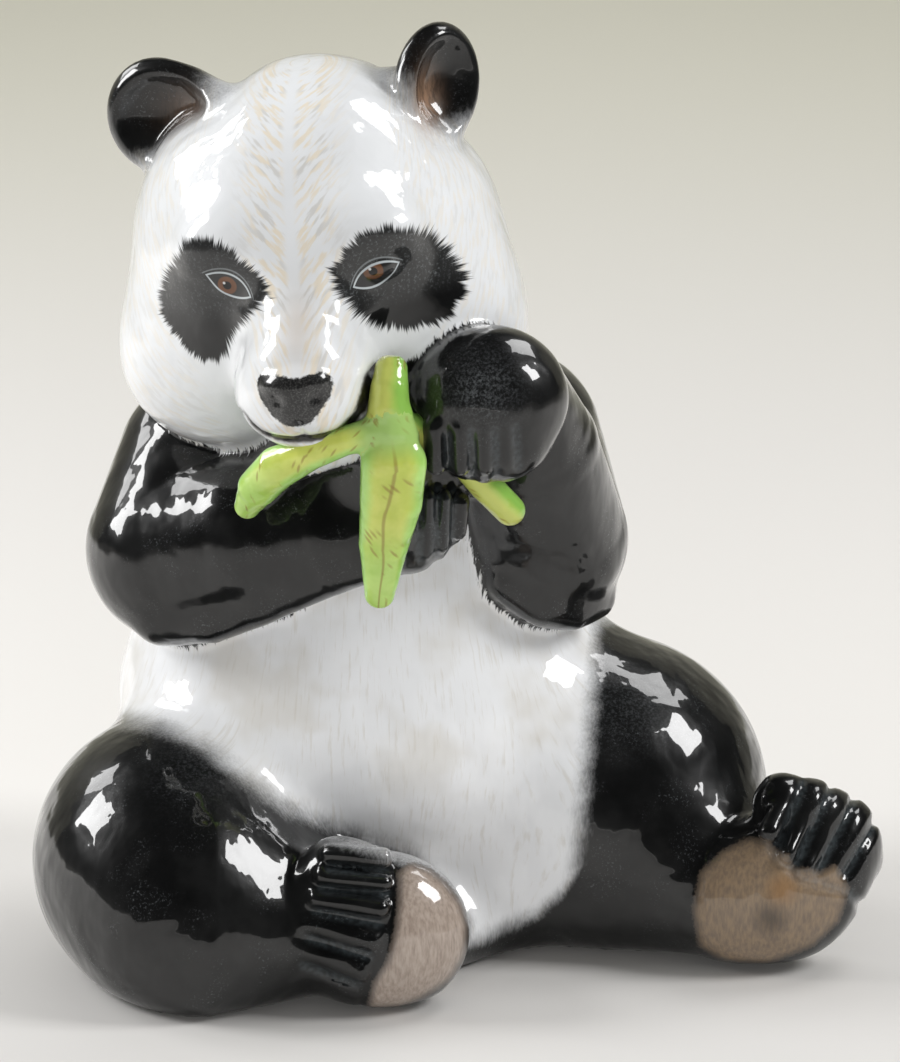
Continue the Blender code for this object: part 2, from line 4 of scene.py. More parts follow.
import bmesh
import bpy
import numpy as np
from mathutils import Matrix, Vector

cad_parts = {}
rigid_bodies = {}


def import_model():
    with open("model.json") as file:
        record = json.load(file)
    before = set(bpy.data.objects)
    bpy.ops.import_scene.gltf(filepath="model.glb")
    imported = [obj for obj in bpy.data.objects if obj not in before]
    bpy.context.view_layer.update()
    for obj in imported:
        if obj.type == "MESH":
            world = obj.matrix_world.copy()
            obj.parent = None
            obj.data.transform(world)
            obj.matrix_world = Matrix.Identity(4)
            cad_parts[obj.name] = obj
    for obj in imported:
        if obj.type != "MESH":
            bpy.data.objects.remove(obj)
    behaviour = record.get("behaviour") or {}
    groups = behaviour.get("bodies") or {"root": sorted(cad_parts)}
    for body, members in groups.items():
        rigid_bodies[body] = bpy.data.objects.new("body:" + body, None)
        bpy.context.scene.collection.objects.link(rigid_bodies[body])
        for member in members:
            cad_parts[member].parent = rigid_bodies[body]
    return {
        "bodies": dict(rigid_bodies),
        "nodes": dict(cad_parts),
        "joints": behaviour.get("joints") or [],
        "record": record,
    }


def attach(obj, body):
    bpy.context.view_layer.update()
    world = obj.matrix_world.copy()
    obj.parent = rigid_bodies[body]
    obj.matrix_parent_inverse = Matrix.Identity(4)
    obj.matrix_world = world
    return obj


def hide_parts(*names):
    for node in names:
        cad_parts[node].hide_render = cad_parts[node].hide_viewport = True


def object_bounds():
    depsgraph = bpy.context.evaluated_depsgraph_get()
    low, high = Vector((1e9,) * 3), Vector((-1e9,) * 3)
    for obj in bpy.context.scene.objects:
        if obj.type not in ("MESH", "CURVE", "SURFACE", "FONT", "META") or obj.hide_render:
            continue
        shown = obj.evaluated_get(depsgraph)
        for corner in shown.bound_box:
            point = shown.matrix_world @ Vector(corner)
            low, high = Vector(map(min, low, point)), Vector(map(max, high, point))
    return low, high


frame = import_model()
cad_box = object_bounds()

# The modelling clay: fields, forms and their skin
# The figure's height, in metres, from the resting face to the tip of the higher ear
FIGURE_HEIGHT = 0.250

# Every position and radius below is a share of that height, given in millimetres of a drawing this high
DRAWING_HEIGHT = 250.0

# Grid spacings on the drawing and triangles kept: of the panda, and of the sprig
GRID_FINE = 0.95
GRID_SPRIG = 0.5
PANDA_TRIANGLES = 190000
SPRIG_TRIANGLES = 40000

# How the drawing lies in the shared frame: its middle, and the factor that makes the height exact
MIDDLE = np.array([2.316, 3.3804, 0.0])
FACTOR = 0.99439679

# The resting face is a flat cut; the clay rounds into it over this width
BASE_ROUNDING = 6.0
BASE_SINK = 1.0
# Points this near to the cut are moved onto it, and faces below this slope belong to it
BASE_SNAP = 0.35
FACING_DOWN = -0.999

# Head: centre of the skull, and how it is tipped, in degrees
HEAD_CENTRE = (-34.0, -6.0, 192.2)
HEAD_PITCH = 6.0
HEAD_LEAN = -8.0
HEAD_YAW = -8.0

# Half spacing of the paired head features, and the sizes that follow the skull
SKULL_RADII = (48.5, 50.0, 50.0)
CHEEK_SPREAD = 27.2
CHEEK_SHIFT = 1.2
EYE_SPREAD = 18.6
EYE_RADIUS = 6.0

# The face looks a little past the skull's middle: sideways shift of the eyes, and of the muzzle
EYE_SHIFT = 3.4
MUZZLE_SHIFT = 1.8

# Grooves between toes and between fingers
TOE_GROOVE = (1.5, 1.5)
FINGER_GROOVE = (1.4, 1.2)

# Marks on the body are pressed in along a line that slopes down to the back
PRESS_SLOPE = math.radians(16.0)
PRESS = (0.0, math.cos(PRESS_SLOPE), -math.sin(PRESS_SLOPE))

# The field's value outside every form, and in a grid point that is filled; rounds of such filling
FAR_AWAY = 50.0
FILL_DEPTH = 0.1
FILL_ROUNDS = 12

# Corners of a grid cell
CORNERS = [(i, j, k) for i in (0, 1) for j in (0, 1) for k in (0, 1)]


def turned(pitch=0.0, lean=0.0, yaw=0.0):
    """A frame whose columns are its own axes: turned about X, then Y, then Z, in degrees."""
    a, b, c = (math.radians(v) for v in (pitch, lean, yaw))
    about_x = np.array([[1, 0, 0], [0, math.cos(a), -math.sin(a)], [0, math.sin(a), math.cos(a)]])
    about_y = np.array([[math.cos(b), 0, math.sin(b)], [0, 1, 0], [-math.sin(b), 0, math.cos(b)]])
    about_z = np.array([[math.cos(c), -math.sin(c), 0], [math.sin(c), math.cos(c), 0], [0, 0, 1]])
    return about_z @ about_y @ about_x


def melt(a, b, width):
    """Union of two fields with a fillet of that width."""
    h = np.maximum(width - np.abs(a - b), 0.0) / width
    return np.minimum(a, b) - h * h * width * 0.25


def scoop(a, b, width):
    """Field a with b taken out of it, the edge rounded over that width."""
    h = np.maximum(width - np.abs(a + b), 0.0) / width
    return np.maximum(a, -b) + h * h * width * 0.25


def nearest_on_path(points, radii, p):
    """Distance from p to the path less the path's radius, and the nearest offset vector."""
    best = None
    offset = None
    for a, b, ra, rb in zip(points, points[1:], radii, radii[1:]):
        step = b - a
        t = np.clip(((p - a) @ step) / (step @ step), 0.0, 1.0)
        away = p - a - t[..., None] * step
        d = np.linalg.norm(away, axis=-1) - (ra + (rb - ra) * t)
        if best is None:
            best, offset = d, away
        else:
            closer = d < best
            best = np.where(closer, d, best)
            offset = np.where(closer[..., None], away, offset)
    return best, offset


class Ball:
    """A rounded mass: an ellipsoid, turned by a frame."""

    def __init__(self, centre, radii, blend, frame=None):
        self.centre = np.array(centre, float)
        self.radii = np.array(radii, float)
        self.blend = blend
        self.frame = np.eye(3) if frame is None else frame

    def reach(self):
        half = np.sqrt(((self.frame * self.radii) ** 2).sum(axis=1))
        return self.centre - half, self.centre + half

    def field(self, p):
        q = (p - self.centre) @ self.frame
        n = np.linalg.norm(q / self.radii, axis=-1)
        slope = np.linalg.norm(q / self.radii**2, axis=-1)
        return n * (n - 1.0) / np.maximum(slope, 1e-6)


class Limb:
    """A roll of clay through joints of given radii; thinner than it is wide where flatness is over one."""

    def __init__(self, joints, blend, flatness=1.0):
        self.points = [np.array(j[:3], float) for j in joints]
        self.radii = [float(j[3]) for j in joints]
        self.blend = blend
        self.squash = np.array([1.0, flatness, 1.0])

    def reach(self):
        low = np.min([c - r for c, r in zip(self.points, self.radii)], axis=0)
        high = np.max([c + r for c, r in zip(self.points, self.radii)], axis=0)
        return low, high

    def field(self, p):
        points = [c * self.squash for c in self.points]
        return nearest_on_path(points, self.radii, p * self.squash)[0]


class Mark:
    """A groove along a path, pressed in to a depth; a depth below zero raises a ridge."""

    def __init__(self, path, width, depth, press=PRESS, reach=9.0):
        self.path = [np.array(c, float) for c in path]
        self.width = width
        self.depth = depth
        self.press = np.array(press, float)
        self.reach_in = reach

    def field(self, p):
        flat = np.eye(3) - np.outer(self.press, self.press)
        points = [flat @ c for c in self.path]
        d, _ = nearest_on_path(points, [0.0] * len(points), p @ flat)
        _, away = nearest_on_path(self.path, [0.0] * len(points), p)
        sunk = away @ self.press
        return self.depth * np.exp(-((d / self.width) ** 2) - (sunk / self.reach_in) ** 4)


class Dent:
    """A soft thumb print; a depth below zero is a swelling."""

    def __init__(self, centre, radii, depth, frame=None):
        self.centre = np.array(centre, float)
        self.radii = np.array(radii, float)
        self.depth = depth
        self.frame = np.eye(3) if frame is None else frame

    def field(self, p):
        q = ((p - self.centre) @ self.frame) / self.radii
        return self.depth * np.exp(-(q * q).sum(axis=-1))


class Form:
    """Masses kneaded together, hollowed and marked, then joined to the figure over its own blend."""

    def __init__(self, blend, masses, hollows=(), marks=()):
        self.blend = blend
        self.masses = masses
        self.hollows = hollows
        self.marks = marks

    def reach(self):
        low = np.min([m.reach()[0] for m in self.masses], axis=0)
        high = np.max([m.reach()[1] for m in self.masses], axis=0)
        return low, high


def head_point(x, y, z):
    return tuple(np.array(HEAD_CENTRE) + head_frame() @ np.array([x, y, z], float))


def head_frame():
    return turned(HEAD_PITCH, HEAD_LEAN, HEAD_YAW)


def trunk():
    return [
        Ball((-22.8, 22.0, 61.7), (67.2, 55.0, 52.0), 10.0),
        Ball((-23.5, 22.0, 115.4), (57.0, 44.0, 48.0), 22.0),
        Ball((-13.9, 34.0, 11.3), (72.0, 46.0, 46.0), 22.0),
        Limb([(-30.6, 10.0, 140.8, 36.0), (-31.0, 2.0, 175.5, 36.0)], 14.0),
        Limb([(-16.0, -30.0, 9.0, 16.0), (14.0, -4.0, 8.0, 14.0)], 14.0),
        Ball((-35.0, 8.0, 9.0), (58.0, 52.0, 18.0), 4.0),
        Ball((-14.0, 74.0, 26.0), (12.0, 9.0, 14.0), 8.0),
    ]


def near_leg():
    return [
        Ball((-72.6, -20.0, 28.4), (38.5, 45.0, 38.5), 11.0),
        Limb([(-64.0, -44.0, 19.0, 29.5), (-30.0, -40.0, 17.0, 18.5)], 12.0),
    ]


def far_leg():
    return [
        Ball((40.8, 14.0, 34.8), (45.5, 44.0, 44.0), 13.0),
        Limb([(51.3, 0.0, 23.3, 27.0), (76.2, -18.0, 16.9, 19.0)], 13.0),
    ]


def torso():
    return Form(1.0, trunk() + near_leg() + far_leg())


def rolls(ends, radius, blend):
    """Toes or fingers: a roll of clay between each pair of ends."""
    return [Limb([(*a, radius), (*b, radius - 0.3)], blend) for a, b in ends]


def grooves(ends, size, reach=9.0):
    return [Mark(pair, size[0], size[1], reach=reach) for pair in ends]


def near_foot():
    """The foot turned up in front: a domed pad, with five toes folded across it from the side."""
    toes = [
        [(-30.5, -58.0, 43.0), (-17.5, -62.0, 42.6)],
        [(-32.0, -60.0, 37.6), (-16.8, -64.5, 37.4)],
        [(-33.6, -61.0, 31.6), (-17.6, -66.0, 31.0)],
        [(-34.6, -61.5, 24.6), (-20.5, -66.5, 22.4)],
        [(-36.5, -60.5, 17.0), (-22.5, -65.5, 13.0)],
    ]
    between = [
        [(-31.0, -61.0, 40.0), (-16.5, -65.0, 40.2)],
        [(-33.0, -62.0, 34.6), (-16.5, -66.0, 34.4)],
        [(-34.6, -62.0, 28.4), (-18.5, -67.0, 26.8)],
        [(-36.4, -62.0, 21.0), (-21.0, -67.0, 18.0)],
        [(-38.0, -60.0, 13.0), (-24.0, -64.0, 9.2)],
    ]
    sole_edge = [
        (-13.5, -60.0, 42.0),
        (-14.4, -65.0, 32.0),
        (-16.0, -69.0, 22.0),
        (-20.5, -69.0, 12.0),
        (-23.0, -66.0, 3.0),
    ]
    rim = [
        (-20.0, -56.0, 47.5),
        (-34.0, -55.0, 46.0),
        (-42.0, -54.0, 37.0),
        (-44.5, -53.0, 24.0),
        (-43.0, -52.0, 10.0),
    ]
    return Form(
        4.0,
        [
            Ball((-18.4, -52.0, 19.0), (23.5, 16.5, 22.0), 5.0),
            Ball((-29.0, -52.0, 24.5), (15.5, 11.6, 22.5), 3.0),
            *rolls(toes, 3.6, 1.0),
        ],
        marks=grooves(between, TOE_GROOVE) + [Mark(sole_edge, 1.6, 1.3), Mark(rim, 2.0, 1.7, reach=14.0)],
    )


def far_foot():
    """The foot that faces forward: a broad sole, its toes curled over the upper edge."""
    toes = [
        [(90.0, -24.5, 46.4), (84.4, -35.0, 40.6)],
        [(94.8, -25.0, 43.0), (89.0, -35.5, 34.6)],
        [(100.8, -22.5, 39.6), (94.2, -34.5, 30.8)],
        [(106.0, -19.0, 34.8), (100.6, -31.5, 28.6)],
        [(111.2, -15.5, 29.2), (106.8, -27.0, 24.6)],
    ]
    between = [
        [(93.2, -22.0, 49.6), (86.6, -36.0, 37.6)],
        [(100.3, -20.0, 47.1), (91.3, -36.0, 32.7)],
        [(106.8, -16.0, 43.0), (97.0, -34.0, 29.8)],
        [(112.6, -12.0, 36.1), (104.0, -30.0, 27.6)],
    ]
    toe_ends = [
        (83.0, -38.0, 38.4),
        (87.4, -39.0, 33.2),
        (92.4, -38.0, 28.4),
        (99.0, -36.0, 26.0),
        (106.0, -32.0, 22.6),
        (110.0, -27.0, 16.0),
    ]
    ankle = [
        (80.5, -22.0, 51.0),
        (72.0, -26.0, 42.0),
        (67.0, -28.0, 32.5),
        (64.0, -28.0, 20.7),
        (66.0, -26.0, 7.8),
    ]
    return Form(
        3.5,
        [
            Ball((83.8, -25.5, 19.6), (24.0, 14.0, 19.4), 5.0),
            Ball((98.4, -20.0, 31.6), (16.5, 12.0, 15.0), 12.0),
            Limb(
                [
                    (88.0, -22.5, 44.6, 8.0),
                    (95.5, -22.5, 42.2, 8.8),
                    (104.0, -19.5, 36.4, 8.8),
                    (108.6, -16.5, 27.0, 7.0),
                ],
                2.5,
            ),
            *rolls(toes, 3.9, 1.4),
        ],
        marks=grooves(between, TOE_GROOVE, 14.0) + [Mark(toe_ends, 1.5, 1.1), Mark(ankle, 2.0, 1.3)],
    )


def resting_arm():
    """The arm laid across the chest, its paw curled at the end."""
    fingers = [
        [(-9.6, -48.0, 135.0), (-10.2, -47.5, 122.8)],
        [(-5.4, -48.5, 136.0), (-6.0, -47.8, 121.8)],
        [(-1.2, -48.0, 135.6), (-1.8, -46.8, 123.0)],
        [(2.2, -45.6, 133.8), (1.6, -45.0, 126.0)],
    ]
    between = [
        [(-7.6, -52.0, 138.0), (-8.0, -50.0, 119.5)],
        [(-3.3, -52.0, 139.0), (-3.9, -49.0, 118.0)],
        [(0.6, -50.0, 138.0), (0.2, -48.0, 120.5)],
    ]
    return Form(
        4.0,
        [
            Limb(
                [
                    (-65.2, 8.0, 130.4, 23.0),
                    (-71.4, -6.0, 110.0, 25.0),
                    (-51.0, -20.0, 117.5, 21.5),
                    (-29.8, -33.0, 123.5, 15.5),
                    (-11.6, -40.0, 125.3, 12.0),
                ],
                5.0,
            ),
            Ball((-5.2, -40.0, 128.4), (9.6, 9.6, 10.4), 4.0),
            Limb([(-38.0, -28.0, 136.0, 12.0), (-14.0, -42.0, 143.0, 11.0)], 7.0),
            Limb(
                [
                    (-76.0, -18.0, 92.5, 4.5),
                    (-62.0, -27.0, 95.0, 4.5),
                    (-50.0, -33.0, 101.0, 4.0),
                    (-37.0, -38.0, 108.5, 4.0),
                    (-22.0, -44.0, 116.5, 3.5),
                ],
                6.0,
            ),
            *rolls(fingers, 3.0, 1.0),
        ],
        marks=grooves(between, FINGER_GROOVE),
    )


def raised_arm():
    """The arm bent up beside the cheek, its paw closed round the stalk."""
    fingers = [
        [(-3.6, -59.0, 157.0), (-3.2, -58.0, 147.6)],
        [(2.4, -60.5, 157.0), (2.6, -59.5, 147.8)],
        [(8.4, -61.0, 157.0), (8.8, -60.0, 148.4)],
        [(14.0, -60.0, 157.5), (14.2, -58.5, 150.2)],
        [(19.2, -57.0, 159.0), (19.6, -55.0, 153.6)],
    ]
    between = [
        [(-0.6, -66.0, 157.0), (-0.2, -62.0, 143.5)],
        [(5.4, -66.0, 158.0), (5.7, -62.0, 143.0)],
        [(11.2, -66.0, 158.0), (11.6, -61.0, 144.0)],
        [(16.6, -64.0, 158.5), (17.2, -59.0, 147.0)],
    ]
    return Form(
        3.0,
        [
            Limb(
                [
                    (15.5, 16.0, 133.7, 25.0),
                    (24.4, 0.0, 111.1, 23.0),
                    (21.5, -20.0, 141.2, 17.5),
                    (16.0, -34.0, 160.0, 14.0),
                ],
                6.0,
            ),
            Limb(
                [
                    (15.0, -18.0, 103.5, 4.0),
                    (24.7, -16.0, 96.0, 4.0),
                    (32.5, -10.0, 93.0, 4.0),
                    (39.0, -1.0, 94.0, 4.5),
                ],
                6.0,
            ),
            Ball((10.0, -47.5, 161.8), (20.2, 17.5, 18.9), 2.0),
            Ball((10.0, -51.0, 150.0), (14.0, 11.0, 9.0), 5.0),
            Ball((-10.0, -43.0, 158.0), (11.0, 10.0, 14.0), 3.0),
            Ball((-4.0, -24.0, 144.0), (18.0, 22.0, 16.0), 4.0),
            Ball((9.0, -6.0, 152.0), (15.0, 15.0, 14.0), 6.0),
            *rolls(fingers, 3.5, 1.2),
        ],
        marks=grooves(between, FINGER_GROOVE),
    )


def mouth_path():
    return [
        head_point(-14.6, -59.5, -24.0),
        head_point(-10.1, -62.1, -28.2),
        head_point(-0.1, -65.4, -29.7),
        head_point(9.7, -62.0, -29.7),
        head_point(15.2, -58.5, -26.0),
        head_point(17.9, -51.0, -18.6),
    ]


def head():
    frame = head_frame()
    forward = tuple(frame @ np.array([0.0, 1.0, 0.0]))

    def face(x, y, z):
        return head_point(x + EYE_SHIFT, y, z)

    def snout(x, y, z):
        return head_point(x + MUZZLE_SHIFT, y, z)

    masses = [Ball(HEAD_CENTRE, SKULL_RADII, 4.0, frame)]
    marks = []
    for side in (-1.0, 1.0):
        cheek = head_point(side * CHEEK_SPREAD - CHEEK_SHIFT, -9.0, -21.5)
        masses.append(Ball(cheek, (26.5, 27.0, 25.5), 12.0, frame))
        masses.append(Ball(face(side * 16.0, -38.0, 15.5), (13.0, 9.0, 8.0), 12.0, frame))
        marks.append(Dent(face(side * 18.0, -48.0, 5.0), (10.0, 12.0, 7.5), 1.6, frame))
        marks.append(Dent(face(side * 21.0, -46.0, -8.0), (6.0, 10.0, 8.0), 1.0, frame))
    masses.append(Limb([(*face(0.0, -41.0, 2.0), 12.0), (*snout(0.0, -56.0, -12.0), 12.5)], 12.0))
    masses.append(Ball(snout(-1.0, -50.0, -21.0), (18.2, 20.0, 14.5), 8.0, frame))
    masses.append(Ball(snout(0.0, -42.0, -30.0), (12.0, 16.0, 7.0), 5.0, frame))
    marks.append(Dent(head_point(37.0, 2.0, 31.0), (17.0, 40.0, 16.0), 3.6, frame))
    marks.append(Dent(head_point(-20.0, 2.0, 44.0), (12.0, 40.0, 12.0), 3.2, frame))
    masses.append(Ball(snout(0.0, -67.5, -13.8), (8.6, 5.0, 4.6), 2.0, frame))
    masses.append(Ball(snout(0.0, -67.0, -19.0), (5.0, 4.8, 5.8), 4.0, frame))
    for side in (-1.0, 1.0):
        eye = face(side * EYE_SPREAD, -42.4, 6.6)
        masses.append(Ball(eye, (EYE_RADIUS, EYE_RADIUS, EYE_RADIUS - 1.5), 2.0, frame))
        marks.append(Dent(snout(side * 4.8, -71.0, -16.5), (1.8, 4.0, 1.6), 1.1, frame))
    marks.append(Mark(mouth_path(), 1.6, 1.6, forward))
    marks.append(Mark([head_point(1.4, -71.0, -23.5), head_point(0.8, -68.0, -29.0)], 1.2, 1.2, forward))
    return Form(3.0, masses, marks=marks)


def ear(centre, frame, radii, bowl_depth, bowl_shift, ramp):
    """A rounded ear, hollowed from the front into a thin-rimmed bowl, with a ramp of clay to the crown."""
    wall = 2.8
    bowl_centre = tuple(np.array(centre) + frame @ np.array([bowl_shift, -bowl_depth, 0.0]))
    bowl_radii = (radii[0] - wall + abs(bowl_shift), bowl_depth + 1.5, radii[2] - wall)
    bowl = Ball(bowl_centre, bowl_radii, 2.0, frame)
    root = tuple(0.72 * np.array(centre) + 0.28 * np.array(HEAD_CENTRE))
    return Form(
        3.0,
        [
            Ball(centre, radii, 3.0, frame),
            Limb([(*centre, 4.5), (*root, 9.0)], 4.0),
            Limb(ramp, 4.0),
        ],
        hollows=[bowl],
    )


def ears():
    frame = head_frame()
    near_frame = frame @ turned(-8.0, 0.0, -14.0)
    far_frame = frame @ turned(-5.0, 24.0, 46.0)
    near_ramp = [(-67.0, -3.0, 229.5, 8.6), (-56.5, -9.0, 226.0, 8.6)]
    far_ramp = [(-8.0, -5.0, 236.0, 6.0), (-13.5, -6.0, 230.5, 9.0), (-5.0, -8.0, 222.0, 7.0)]
    return [
        ear(head_point(-36.5, 4.0, 38.5), near_frame, (15.2, 6.2, 15.4), 7.5, 2.5, near_ramp),
        ear(head_point(36.6, 4.0, 38.4), far_frame, (13.2, 6.6, 16.4), 7.5, 0.0, far_ramp),
    ]


def stalk_path():
    return [
        (-14.8, -58.5, 172.0, 4.2),
        (-15.2, -61.0, 168.0, 4.9),
        (-15.4, -62.0, 163.5, 5.3),
        (-14.8, -62.0, 157.5, 5.7),
        (-5.0, -49.0, 152.5, 4.6),
        (2.5, -46.0, 146.6, 4.3),
        (9.0, -44.5, 138.0, 4.2),
        (15.4, -42.0, 130.6, 4.0),
    ]


def stalk_cut():
    """What is taken off the stalk's upper end to leave it flat."""
    return [Ball((-14.8, -57.0, 182.5), (9.0, 9.0, 7.0), 0.8)]


def leaf_paths():
    """The hanging leaf and the side leaf, from the joint to the tip."""
    hanging = [
        (-15.0, -62.5, 160.0, 5.4),
        (-14.7, -63.5, 154.5, 6.8),
        (-14.2, -64.0, 149.0, 8.4),
        (-14.9, -61.5, 138.5, 8.0),
        (-16.8, -58.5, 126.5, 6.4),
        (-18.0, -53.5, 111.6, 3.9),
    ]
    side = [
        (-16.0, -62.5, 157.5, 4.5),
        (-26.4, -64.0, 155.0, 3.8),
        (-35.3, -61.5, 151.3, 4.6),
        (-43.6, -56.5, 146.0, 5.6),
        (-48.9, -51.5, 139.4, 5.2),
        (-51.8, -47.5, 133.3, 3.4),
    ]
    return hanging, side


def sprig_masses():
    hanging, side = leaf_paths()
    return [Limb(stalk_path(), 3.0), Limb(side, 2.0, 1.3), Limb(hanging, 2.0, 1.7)]


def sprig_beds():
    """Clay behind the leaves that joins them to the arm."""
    behind_hanging = [
        (-15.0, -53.0, 156.0, 7.5),
        (-14.5, -53.0, 138.0, 6.5),
        (-15.7, -51.0, 124.0, 5.0),
        (-16.9, -46.5, 115.5, 3.0),
    ]
    behind_side = [
        (-17.0, -52.0, 153.0, 6.0),
        (-30.0, -51.0, 149.5, 5.0),
        (-42.0, -46.0, 143.0, 4.5),
        (-49.0, -41.0, 135.0, 3.0),
    ]
    return [Limb(behind_hanging, 3.0), Limb(behind_side, 3.0)]


def bamboo():
    """A sprig: the stalk from the mouth runs behind the paw, with two leaves from its joint."""
    return Form(2.5, sprig_beds() + sprig_masses(), hollows=stalk_cut())


FORM_NAMES = [
    "torso", "near_foot", "far_foot", "resting_arm", "raised_arm", "head", "ear_near", "ear_far", "bamboo"
]


def figure_forms():
    return [torso(), near_foot(), far_foot(), resting_arm(), raised_arm(), head(), *ears(), bamboo()]


class Grid:
    """The block of space that is sampled, with the field's value at every point of it."""

    def __init__(self, low, high, step):
        self.low = low
        self.step = step
        self.counts = np.ceil((high - low) / step).astype(int) + 1
        self.axes = [low[i] + step * np.arange(self.counts[i]) for i in range(3)]
        self.values = np.full(self.counts, FAR_AWAY)

    def window(self, reach, margin):
        low, high = reach
        first = np.maximum(np.floor((low - margin - self.low) / self.step).astype(int), 0)
        last = np.minimum(np.ceil((high + margin - self.low) / self.step).astype(int) + 1, self.counts)
        return tuple(slice(first[i], last[i]) for i in range(3))

    def points(self, window):
        return np.stack(np.meshgrid(*[self.axes[i][window[i]] for i in range(3)], indexing="ij"), axis=-1)


def inner_window(outer, inner):
    """The inner window as seen from the outer one."""
    pairs = zip(outer, inner)
    return tuple(slice(max(b.start, a.start) - a.start, min(b.stop, a.stop) - a.start) for a, b in pairs)


def sampled(forms, step):
    """Grid of the forms' joined field: below zero in the clay."""
    low = np.min([f.reach()[0] for f in forms], axis=0) - 4.0 * step
    high = np.max([f.reach()[1] for f in forms], axis=0) + 4.0 * step
    low[2] = -BASE_SINK - BASE_ROUNDING
    grid = Grid(low, high, step)
    for form in forms:
        window = grid.window(form.reach(), form.blend + 2.0 * step)
        points = grid.points(window)
        clay = np.full(points.shape[:3], FAR_AWAY)
        for mass in form.masses:
            part = inner_window(window, grid.window(mass.reach(), mass.blend + 2.0 * step))
            clay[part] = melt(clay[part], mass.field(points[part]), mass.blend)
        for hollow in form.hollows:
            clay = scoop(clay, hollow.field(points), hollow.blend)
        for mark in form.marks:
            clay = clay + mark.field(points)
        grid.values[window] = melt(grid.values[window], clay, form.blend)
    above = np.broadcast_to(grid.axes[2] + BASE_SINK, grid.values.shape)
    grid.values = scoop(grid.values, above, BASE_ROUNDING)
    return grid


def corner_view(block, corner):
    """The block seen from one corner of every grid cell."""
    return block[tuple(slice(c, n - 1 + c) for c, n in zip(corner, block.shape))]


def without_pinches(values):
    """Fills the places where the clay would meet itself only along an edge or at a point of the grid."""
    squares = []
    for axis in range(3):
        for level in (0, 1):
            squares.append([c for c in CORNERS if c[axis] == level])
    for _ in range(FILL_ROUNDS):
        inside = values < 0.0
        fill = np.zeros(values.shape, bool)
        for square in squares:
            a, b, c, d = (corner_view(inside, corner) for corner in square)
            crossed = (a & d & ~b & ~c) | (b & c & ~a & ~d)
            for corner in square:
                corner_view(fill, corner)[crossed] = True
        count = sum(corner_view(inside, corner).astype(int) for corner in CORNERS)
        for first in CORNERS[:4]:
            last = tuple(1 - c for c in first)
            a, b = corner_view(inside, first), corner_view(inside, last)
            lone = (a & b & (count == 2)) | (~a & ~b & (count == 6))
            corner_view(fill, first)[lone] = True
            corner_view(fill, last)[lone] = True
            beside = (1 - first[0], first[1], first[2])
            corner_view(fill, beside)[a & b & (count == 2)] = True
        fill &= ~inside
        if not fill.any():
            break
        values[fill] = -FILL_DEPTH
    return values


def skin(grid):
    """Points and four-sided faces of the clay's surface, one point in each grid cell that it crosses."""
    values = without_pinches(grid.values)
    inside = values < 0.0
    count = sum(corner_view(inside, corner).astype(int) for corner in CORNERS)
    crossed = (count > 0) & (count < len(CORNERS))
    cells = np.argwhere(crossed)
    number = np.full(crossed.shape, -1)
    number[crossed] = np.arange(len(cells))
    total = np.zeros((len(cells), 3))
    found = np.zeros(len(cells))
    at_corner = {c: values[cells[:, 0] + c[0], cells[:, 1] + c[1], cells[:, 2] + c[2]] for c in CORNERS}
    for start in CORNERS:
        for axis in range(3):
            if start[axis] == 1:
                continue
            end = tuple(1 if i == axis else start[i] for i in range(3))
            a, b = at_corner[start], at_corner[end]
            cut = (a < 0.0) != (b < 0.0)
            place = np.tile(np.array(start, float), (len(cells), 1))
            place[:, axis] = a / np.where(cut, a - b, 1.0)
            total[cut] += place[cut]
            found[cut] += 1.0
    points = grid.low + grid.step * (cells + total / found[:, None])
    faces = []
    for axis in range(3):
        u, v = (axis + 1) % 3, (axis + 2) % 3
        first = np.take(inside, range(0, inside.shape[axis] - 1), axis=axis)
        second = np.take(inside, range(1, inside.shape[axis]), axis=axis)
        edges = np.argwhere(first != second)
        within = (edges[:, u] > 0) & (edges[:, v] > 0)
        within &= (edges[:, u] < inside.shape[u] - 1) & (edges[:, v] < inside.shape[v] - 1)
        edges = edges[within]
        backward = ~first[tuple(edges.T)]
        ring = []
        for du, dv in ((1, 1), (0, 1), (0, 0), (1, 0)):
            cell = edges.copy()
            cell[:, u] -= du
            cell[:, v] -= dv
            ring.append(number[tuple(cell.T)])
        quads = np.stack(ring, axis=1)
        quads[backward] = quads[backward][:, ::-1]
        faces.append(quads)
    return points, np.concatenate(faces)


def new_object(name, points, faces):
    mesh = bpy.data.meshes.new(name)
    mesh.from_pydata(points.tolist(), [], faces.tolist())
    figure = bpy.data.objects.new(name, mesh)
    bpy.context.scene.collection.objects.link(figure)
    return figure


def apply_modifiers(figure):
    graph = bpy.context.evaluated_depsgraph_get()
    figure.data = bpy.data.meshes.new_from_object(figure.evaluated_get(graph))
    figure.modifiers.clear()


def simplify(figure, triangles):
    """Fewer triangles, kept closest where the form turns tightly."""
    now = sum(len(p.vertices) - 2 for p in figure.data.polygons)
    thin = figure.modifiers.new("simplify", "DECIMATE")
    thin.ratio = triangles / now
    thin.use_collapse_triangulate = True
    apply_modifiers(figure)


